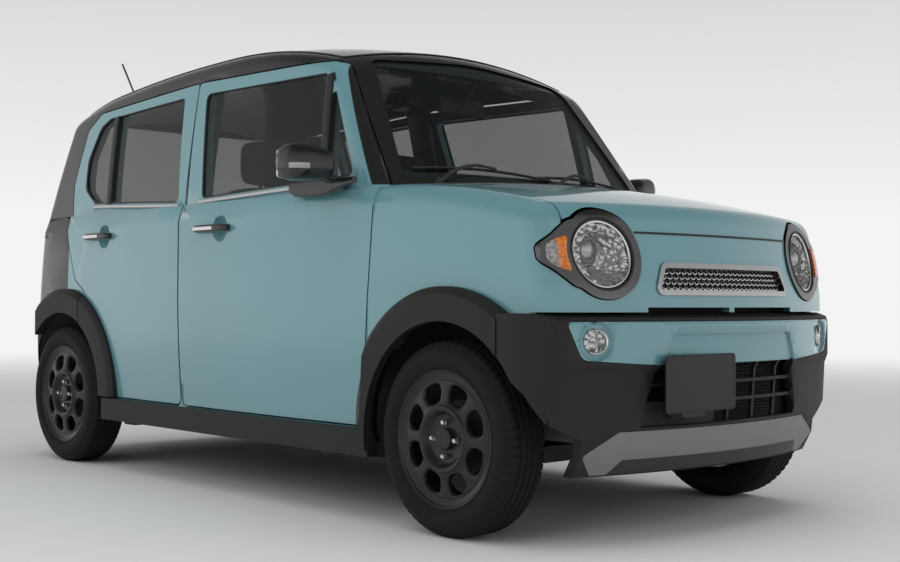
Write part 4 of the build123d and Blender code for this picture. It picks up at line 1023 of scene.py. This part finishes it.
FOOT_LOW = (1.052, 1.036, 1.031, 1.041, 1.057, 1.062, 1.066)
FOOT_HIGH, DOOR_TOP_Z, PANE_FOOT_Z = 1.084, 1.035, 1.06
HANDLE_Z, HANDLE_HALF, HANDLE_PROUD, HANDLE_BOW = 0.95, 0.118, 0.021, 0.004
FOOT_STEP, INSERT_PROUD, FLARE_TOP_Z = 0.1, 0.0088, 0.89
HANDLE_X = {"front": -0.083, "rear": -0.976}
HANDLE_FOOT = [(-0.03, 0.013), (0.018, 0.0125), (0.022, 0)]
MIRROR_LOW = np.array([0.56, 0.742, 1.066])
MIRROR_HIGH = np.array([0.684, 0.898, 1.19])
POD_LEAN, POD_END = 0.016, 0.35
MIRROR_ARM = [(0.64, 0.664, 1.078), (0.636, 0.705, 1.076), (0.63, 0.745, 1.086), (0.626, 0.79, 1.1)]


def seals(end):
    """Black rubber round every pane of a door."""
    rings = []
    for pane in PANES[end]:
        x, z = rounded(pane).T
        rings.append(ringed(xyz(x, GLASS_SIDE(x, z) + SEAL_PROUD, z), SEAL, (0, 1, 0.3)))
    paired(f"seals_{end}_{{side}}", together(*rings), "seal_rubber", f"door_{end}_{{side}}")


def window_bars(end):
    """The upright bar between a door's panes and the satin strip along their foot."""
    body = f"door_{end}_{{side}}"
    x, z = smooth_line(DIVIDERS[end], 24).T
    bar = swept(xyz(x, GLASS_SIDE(x, z) + BAR_PROUD, z), oval(0.042, 0.014, 16, 4), up=ASIDE)
    paired(f"divider_{end}_{{side}}", bar, "seal_rubber", body)
    x, z = smooth_line(BELTS[end], 48).T
    belt = swept(xyz(x, GLASS_SIDE(x, z) + BELT_PROUD, z), oval(0.012, 0.015, 16, 4))
    paired(f"belt_{end}_{{side}}", belt, "satin_metal", body)


def mirror_foot():
    """The black wedge below the mirror: its lower edge falls and rises along the belt."""
    x = np.linspace(FOOT_X[0], FOOT_X[-1], 49)[:, None]
    low = np.interp(x, FOOT_X, FOOT_LOW)
    ring = oval(2, 2, 24, 6)
    z = (FOOT_HIGH + low) / 2 + ring[None, :, 1] * (FOOT_HIGH - low) / 2
    door = DOOR_SIDE(x, np.minimum(z, DOOR_TOP_Z)) - 0.01
    base = np.maximum(door, GLASS_SIDE(x, np.maximum(z, PANE_FOOT_Z)))
    points = xyz(x, base + 0.004 + ring[None, :, 0] * 0.01, z)
    paired("mirror_foot_{side}", capped(points), "gloss_black", "door_front_{side}")


def handle(end):
    """A grip bar with a bright insert, standing on two feet over the door's hollow."""
    mid, body = HANDLE_X[end], f"door_{end}_{{side}}"
    x = np.linspace(mid - HANDLE_HALF, mid + HANDLE_HALF, 33)
    share = (x - mid) / HANDLE_HALF
    path = xyz(x, DOOR_SIDE(x, HANDLE_Z) + HANDLE_PROUD + HANDLE_BOW * (1 - share**2), HANDLE_Z)
    bar = swept(path, oval(0.018, 0.028, 20, 3), scale=np.clip(1 - share**8, 0.3, 1))
    spots = np.array([mid - FOOT_STEP, mid + FOOT_STEP])
    feet = [turned(HANDLE_FOOT, spot, ASIDE, 24) for spot in xyz(spots, DOOR_SIDE(spots, HANDLE_Z), HANDLE_Z)]
    paired(f"handle_{end}_{{side}}", together(bar, *feet), "gloss_black", body)
    insert = swept(path[3:22] + (0, INSERT_PROUD, 0), oval(0.003, 0.013, 10, 4))
    paired(f"handle_insert_{end}_{{side}}", insert, "chrome", body)


def mirror_pod():
    """Mirror housing: rounded sections carried outward, fuller at the top and pulled in at both ends."""
    body, trim = "door_front_{side}", "door_front_{side}_trim"
    mid, half = (MIRROR_LOW + MIRROR_HIGH) / 2, (MIRROR_HIGH - MIRROR_LOW) / 2
    along = np.linspace(-1, 1, 41)[:, None]
    size = np.clip(1 - np.abs(along) ** 5, 0, 1) ** 0.5
    section = oval(2 * half[0], 2 * half[2], 40, 2.9)[None]
    x = mid[0] - POD_LEAN * along + section[..., 0] * (POD_END + (1 - POD_END) * size)
    z = mid[2] + 0.004 * along + section[..., 1] * size * (0.92 + 0.08 * along)
    shell = lattice(xyz(x, mid[1] + half[1] * along, z), wrap_v=True)
    paired("mirror_pod_{side}", shell, "gloss_black", body, 60, trim)
    glint = np.linspace(0.3, 0.97, 18)
    reach = np.clip(1 - glint**5, 0, 1) ** 0.5
    front = mid[0] - POD_LEAN * glint + half[0] * (POD_END + (1 - POD_END) * reach) * 0.985
    lamp = swept(xyz(front, mid[1] + half[1] * glint, mid[2] - 0.014), oval(0.008, 0.018, 12, 4))
    paired("mirror_lamp_{side}", lamp, "lamp_strip", body)
    spot, reach = (MIRROR_LOW[0] + 0.002, mid[1] + 0.002, mid[2]), (0.004, half[1] * 0.84, half[2] * 0.76)
    paired("mirror_glass_{side}", pillow(spot, reach, (0.2, 0.3)), "mirror_glass", body)
    arm = swept(smooth_line(MIRROR_ARM, 20), oval(0.068, 0.028, 20, 2.6), scale=np.linspace(1, 0.8, 20))
    paired("mirror_arm_{side}", arm, "gloss_black", body)


for end in ENDS:
    seals(end)
    window_bars(end)
    handle(end)
mirror_foot()
mirror_pod()
for side, _ in SIDES:
    dressed(f"door_rear_{side}_trim", "charcoal", below=FLARE_TOP_Z)

# Rear grip and wipers
GRIP_Z = 1
REAR_PIVOT_Y, REAR_PIVOT_Z, REAR_BLADE_Z = -0.04, 1.125, 1.15
BLADE_BOW = 0.02
REAR_HUB = [(-0.012, 0.02), (0.006, 0.019), (0.01, 0.012), (0.011, 0)]
WIPER_HUB = [(-0.02, 0.014), (0.01, 0.013), (0.016, 0.009), (0.017, 0)]
WIPERS = {
    "driver": ((0.868, -0.47, 1.072), -0.52, 0.06, 1.112),
    "passenger": ((0.874, 0.06, 1.078), -0.02, 0.5, 1.108),
}


def rear_details():
    """Tailgate grip and wiper, each laid on the face that carries it."""
    y = np.linspace(-0.17, 0.17, 41)
    grip = swept(xyz(TAIL(y, GRIP_Z) - 0.004, y, GRIP_Z), oval(0.022, 0.036, 16, 3))
    piece("tailgate_grip", grip, "gloss_black", "tailgate")
    y = np.linspace(-0.06, 0.36, 33)
    z = REAR_BLADE_Z + BLADE_BOW * np.sin((y - y[0]) / (y[-1] - y[0]) * math.pi)
    blade = xyz(REAR_GLASS(y, z) - 0.007, y, z)
    pivot = np.array([float(REAR_GLASS(REAR_PIVOT_Y, REAR_PIVOT_Z)) - 0.008, REAR_PIVOT_Y, REAR_PIVOT_Z])
    arm = smooth_line([pivot, pivot + (-0.006, 0.06, 0.02), blade[16] + (-0.008, 0, 0.002)], 20)
    parts = together(
        swept(blade, oval(0.009, 0.012, 8), up=AHEAD), swept(arm, oval(0.01, 0.01, 8), up=AHEAD),
        turned(REAR_HUB, pivot, (-1, 0, 0.1), 24),
    )
    piece("rear_wiper", parts, "cabin_dark", "tailgate")


def wiper(name, pivot, start, stop, foot):
    """An arm from its pivot to the middle of a blade that lies along the foot of the screen."""
    y = np.linspace(start, stop, 40)
    rise = foot + BLADE_BOW * np.sin(np.linspace(0.15, 1, 40) * math.pi)
    blade = xyz(SCREEN(y, rise) + 0.008, y, rise)
    mid = blade[22] + (0.012, 0, 0.006)
    elbow = np.add(pivot, (-0.01, 0.05, 0.03))
    arm = smooth_line([pivot, elbow, (mid + blade[10]) / 2 + (0.01, 0, 0.01), mid], 28)
    parts = together(
        swept(blade, oval(0.01, 0.014, 8), up=AHEAD),
        swept(arm, oval(0.013, 0.009, 8), up=AHEAD, scale=np.linspace(1.2, 0.7, 28)),
        turned(WIPER_HUB, pivot, (0.35, 0, 1), 20),
    )
    piece(f"wiper_{name}", parts, "cabin_dark")


rear_details()
for name, measures in WIPERS.items():
    wiper(name, *measures)

# Seats: every cushion, back and head pad is a padded piece of its own
FRONT_SEAT_Y, PAD_FILL = 0.33, 0.7
FRONT_SEAMS, BENCH_SEAMS = (-0.58, 0.58), (-0.75, -0.33, 0, 0.33, 0.75)
PADS = {
    "cushion": ((0.06, 0, 0.5), (0.25, 0.24, 0.068), FRONT_SEAMS),
    "back": ((-0.262, 0, 0.825), (0.07, 0.24, 0.3), FRONT_SEAMS),
    "head": ((-0.283, 0, 1.225), (0.048, 0.12, 0.085), ()),
}
BENCH = {
    "bench_cushion": ((-0.81, 0, 0.502), (0.25, 0.47, 0.066), BENCH_SEAMS),
    "bench_back": ((-1.115, 0, 0.795), (0.07, 0.47, 0.295), BENCH_SEAMS),
}


def pad(name, centre, half, seams):
    """One padded piece with its sewn lines."""
    shape = pillow(centre, half, (0.42, 0.34), 0.1, (240, 96), seams)
    piece(name, shape, "seat_fabric", sharp=80)


def seat_frame():
    """Plinths under the cushions and the stalks of the head pads, as rounded bars."""
    bars = []
    for y in (-FRONT_SEAT_Y, FRONT_SEAT_Y):
        bars.append(swept([(0.05, y, 0.252), (0.05, y, 0.44)], oval(0.35, 0.43, 40, 5), up=AHEAD))
        bars += [
            swept([(-0.28, y + step, 1.08), (-0.28, y + step, 1.16)], oval(0.012, 0.012, 12), up=AHEAD)
            for step in (-0.05, 0.05)
        ]
    bars.append(swept([(-0.82, 0, 0.422), (-0.82, 0, 0.455)], oval(0.86, 0.42, 40, 6), up=AHEAD))
    piece("seat_frame", together(*bars), "cabin_dark", stands_for="seats")


for label, y in (("driver", -FRONT_SEAT_Y), ("passenger", FRONT_SEAT_Y)):
    for part, (centre, half, seams) in PADS.items():
        pad(f"{label}_{part}", np.add(centre, (0, y, 0)), half, seams)
for part, measures in BENCH.items():
    pad(part, *measures)
seat_frame()

# Engine bay and roof joint
ENGINE_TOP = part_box("engine")[1].z
COVER_SEAMS = (-0.66, -0.33, 0, 0.33, 0.66)
CAP_SPOTS = [(1.255, 0.06, 0.055), (1.02, 0.27, 0.14), (1.02, 0.305, 0.14)]
FILLER_PROFILE = [
    (-0.02, 0), (-0.02, 0.014), (0.01, 0.014), (0.01, 0.021), (0.02, 0.021), (0.024, 0.017), (0.024, 0),
]
NEARLY_UP = (0.001, 0, 1)
HOSE = [
    (1.1, -0.215, 0.03), (1.2, -0.28, 0.045), (1.34, -0.285, 0.045), (1.44, -0.22, 0.01),
    (1.47, -0.12, -0.03),
]
HOSE_RIBS, HOSE_STEPS = 22, 320
ROOF_SLACK, EDGE_SLACK = 0.006, 5e-4


def engine_bay():
    """Ribbed cover, battery, filler caps and a ribbed hose to the air box, over the engine block."""
    top = np.array([0, 0, ENGINE_TOP])
    half = (0.195, 0.215, 0.062)
    cover = pillow(top + (1.15, -0.02, 0.008), half, (0.25, 0.25), 0, (320, 64), COVER_SEAMS)
    piece("engine_cover", cover, "charcoal")
    battery = pillow(top + (1.02, 0.287, 0.064), (0.1, 0.048, 0.072), (0.12, 0.12), 0, (96, 48))
    piece("battery", battery, "cabin_dark")
    caps = [turned(FILLER_PROFILE, top + spot, NEARLY_UP, 40) for spot in CAP_SPOTS]
    piece("filler_caps", together(*caps), "plate_black")
    ribs = 1 + 0.07 * np.sin(np.linspace(0, HOSE_RIBS * 2 * math.pi, HOSE_STEPS))
    hose = swept(smooth_line(top + HOSE, HOSE_STEPS), oval(0.056, 0.056, 24), scale=ribs)
    piece("intake_hose", hose, "seal_rubber", "body", 60)
    box = pillow(top + (1.47, 0, -0.04), (0.042, 0.16, 0.05), (0.22, 0.22), 0, (96, 48))
    piece("air_box", box, "cabin_dark")


def roof_edge(verts, axis, value, along):
    """Heights of the roof panel's top edge in one upright plane, between its own corner points."""
    on_top = verts[:, 2] > ROOF(verts[:, 0], verts[:, 1]) - ROOF_SLACK
    edge = verts[(np.abs(verts[:, axis] - value) < EDGE_SLACK) & on_top]
    edge = edge[np.argsort(edge[:, 1 - axis])]
    points = xyz(along, along, np.interp(along, edge[:, 1 - axis], edge[:, 2]))
    points[:, axis] = value
    return points


def roof_seal():
    """A flat rubber moulding in the joint along the roof's sides and front."""
    verts = read(NODES["roof_panel"].data.vertices, "co")
    low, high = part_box("roof_panel")
    back = np.linspace(low.x + 0.006, high.x - 0.004, 160)
    across = np.linspace(low.y + 0.004, high.y - 0.004, 120)
    right = roof_edge(verts, 1, low.y, back)
    front = roof_edge(verts, 0, high.x, across)
    left = roof_edge(verts, 1, high.y, back[::-1])
    moulding = swept(np.concatenate([right, front, left]), oval(0.017, 0.007, 20, 3))
    piece("roof_seal", moulding, "seal_rubber", "body", 60)


engine_bay()
roof_seal()


# Studio: floor, light and camera
def camera():
    """The photograph's camera: its place, its line of sight and a slight roll."""
    look = CAMERA_LOOK.normalized()
    right = look.cross(Vector((0, 0, 1))).normalized()
    up = right.cross(look)
    cos, sin = math.cos(CAMERA_ROLL), math.sin(CAMERA_ROLL)
    right, up = right * cos + up * sin, up * cos - right * sin
    data = bpy.data.cameras.new("photo_camera")
    data.sensor_fit = "HORIZONTAL"
    data.sensor_width = SENSOR
    data.lens = CAMERA_LENS
    data.clip_end = 100
    view = placed("photo_camera", data)
    view.matrix_world = Matrix.Translation(CAMERA_AT) @ Matrix((right, up, -look)).transposed().to_4x4()
    bpy.context.scene.camera = view


def softbox(name, at, aim, size, power):
    """A large soft area lamp at one point, turned to another, that shiny faces don't mirror."""
    data = bpy.data.lights.new(name, "AREA")
    data.shape = "RECTANGLE"
    data.size, data.size_y = size
    data.energy = power
    lamp = placed(name, data)
    lamp.location = at
    lamp.rotation_euler = (Vector(aim) - Vector(at)).to_track_quat("-Z", "Y").to_euler()
    lamp.visible_glossy = False


SKY_PALE, SKY_DARK, SKY_LOW_Z, SKY_HIGH_Z = 0.9, 0.1, 0.06, 0.7


def world_light():
    """Even studio light; where it is seen, pale at the horizon and greyer overhead."""
    world = bpy.data.worlds.new("studio")
    bpy.context.scene.world = world
    tree = Tree(world)
    sky = tree.nodes["Background"]
    sky.inputs["Color"].default_value = shade(0.8, (0.97, 0.99, 1))
    sky.inputs["Strength"].default_value = 0.4
    way = tree.node("ShaderNodeTexCoord", out="Generated")
    height = tree.node("ShaderNodeSeparateXYZ", None, way, out=2)
    fade = tree.node("ShaderNodeMapRange", None, height, SKY_LOW_Z, SKY_HIGH_Z, SKY_PALE, SKY_DARK)
    seen = tree.node("ShaderNodeBackground", None, Color=fade)
    kinds = ("Camera", "Glossy", "Transmission")
    view, gloss, through = (tree.node("ShaderNodeLightPath", out=f"Is {kind} Ray") for kind in kinds)
    share = view.either(gloss).either(through)
    mix = tree.node("ShaderNodeMixShader", None, share, Wire(tree, sky.outputs[0]), seen)
    tree.join(mix, tree.nodes["World Output"].inputs["Surface"])


FLOOR_HALF, FLOOR_FADE, FLOOR_FADE_HALF = 60.0, 8.0, 5.5


def floor():
    """A wide pale floor, level with the tyres' contact, that fades into the background far away."""
    corners = np.array([[-1, -1, 0], [1, -1, 0], [1, 1, 0], [-1, 1, 0]]) * FLOOR_HALF
    mesh = bpy.data.meshes.new("floor")
    mesh.from_pydata(corners.tolist(), [], [(0, 1, 2, 3)])
    paint = Paint("pale_floor", Specular_IOR_Level=0, Emission_Strength=1)
    x, y, _ = paint.place()
    cloud = paint.noise(1.5, 4)
    reach = x * x + y * y
    far = reach.maths("SQRT", reach).above(FLOOR_FADE, FLOOR_FADE_HALF)
    pale = paint.blend(cloud, shade(0.66), shade(0.7))
    paint.colour(far, pale, shade(0))
    paint.put("Emission Color", paint.blend(far, shade(0), shade(SKY_PALE)))
    paint.put("Roughness", 0.55 + cloud * 0.15)
    mesh.materials.append(paint.material)
    placed("floor", mesh)


camera()
world_light()
floor()
softbox("key_softbox", (-1, -9, 5), (0, 0, 0.7), (14, 6), 380)
softbox("top_softbox", (0.3, 0, 6.5), (0, 0, 0.8), (11, 7), 270)
softbox("front_softbox", (9, 2.5, 4.5), (1.2, 0, 0.7), (8, 6), 230)
bpy.context.scene.view_settings.view_transform = "Standard"
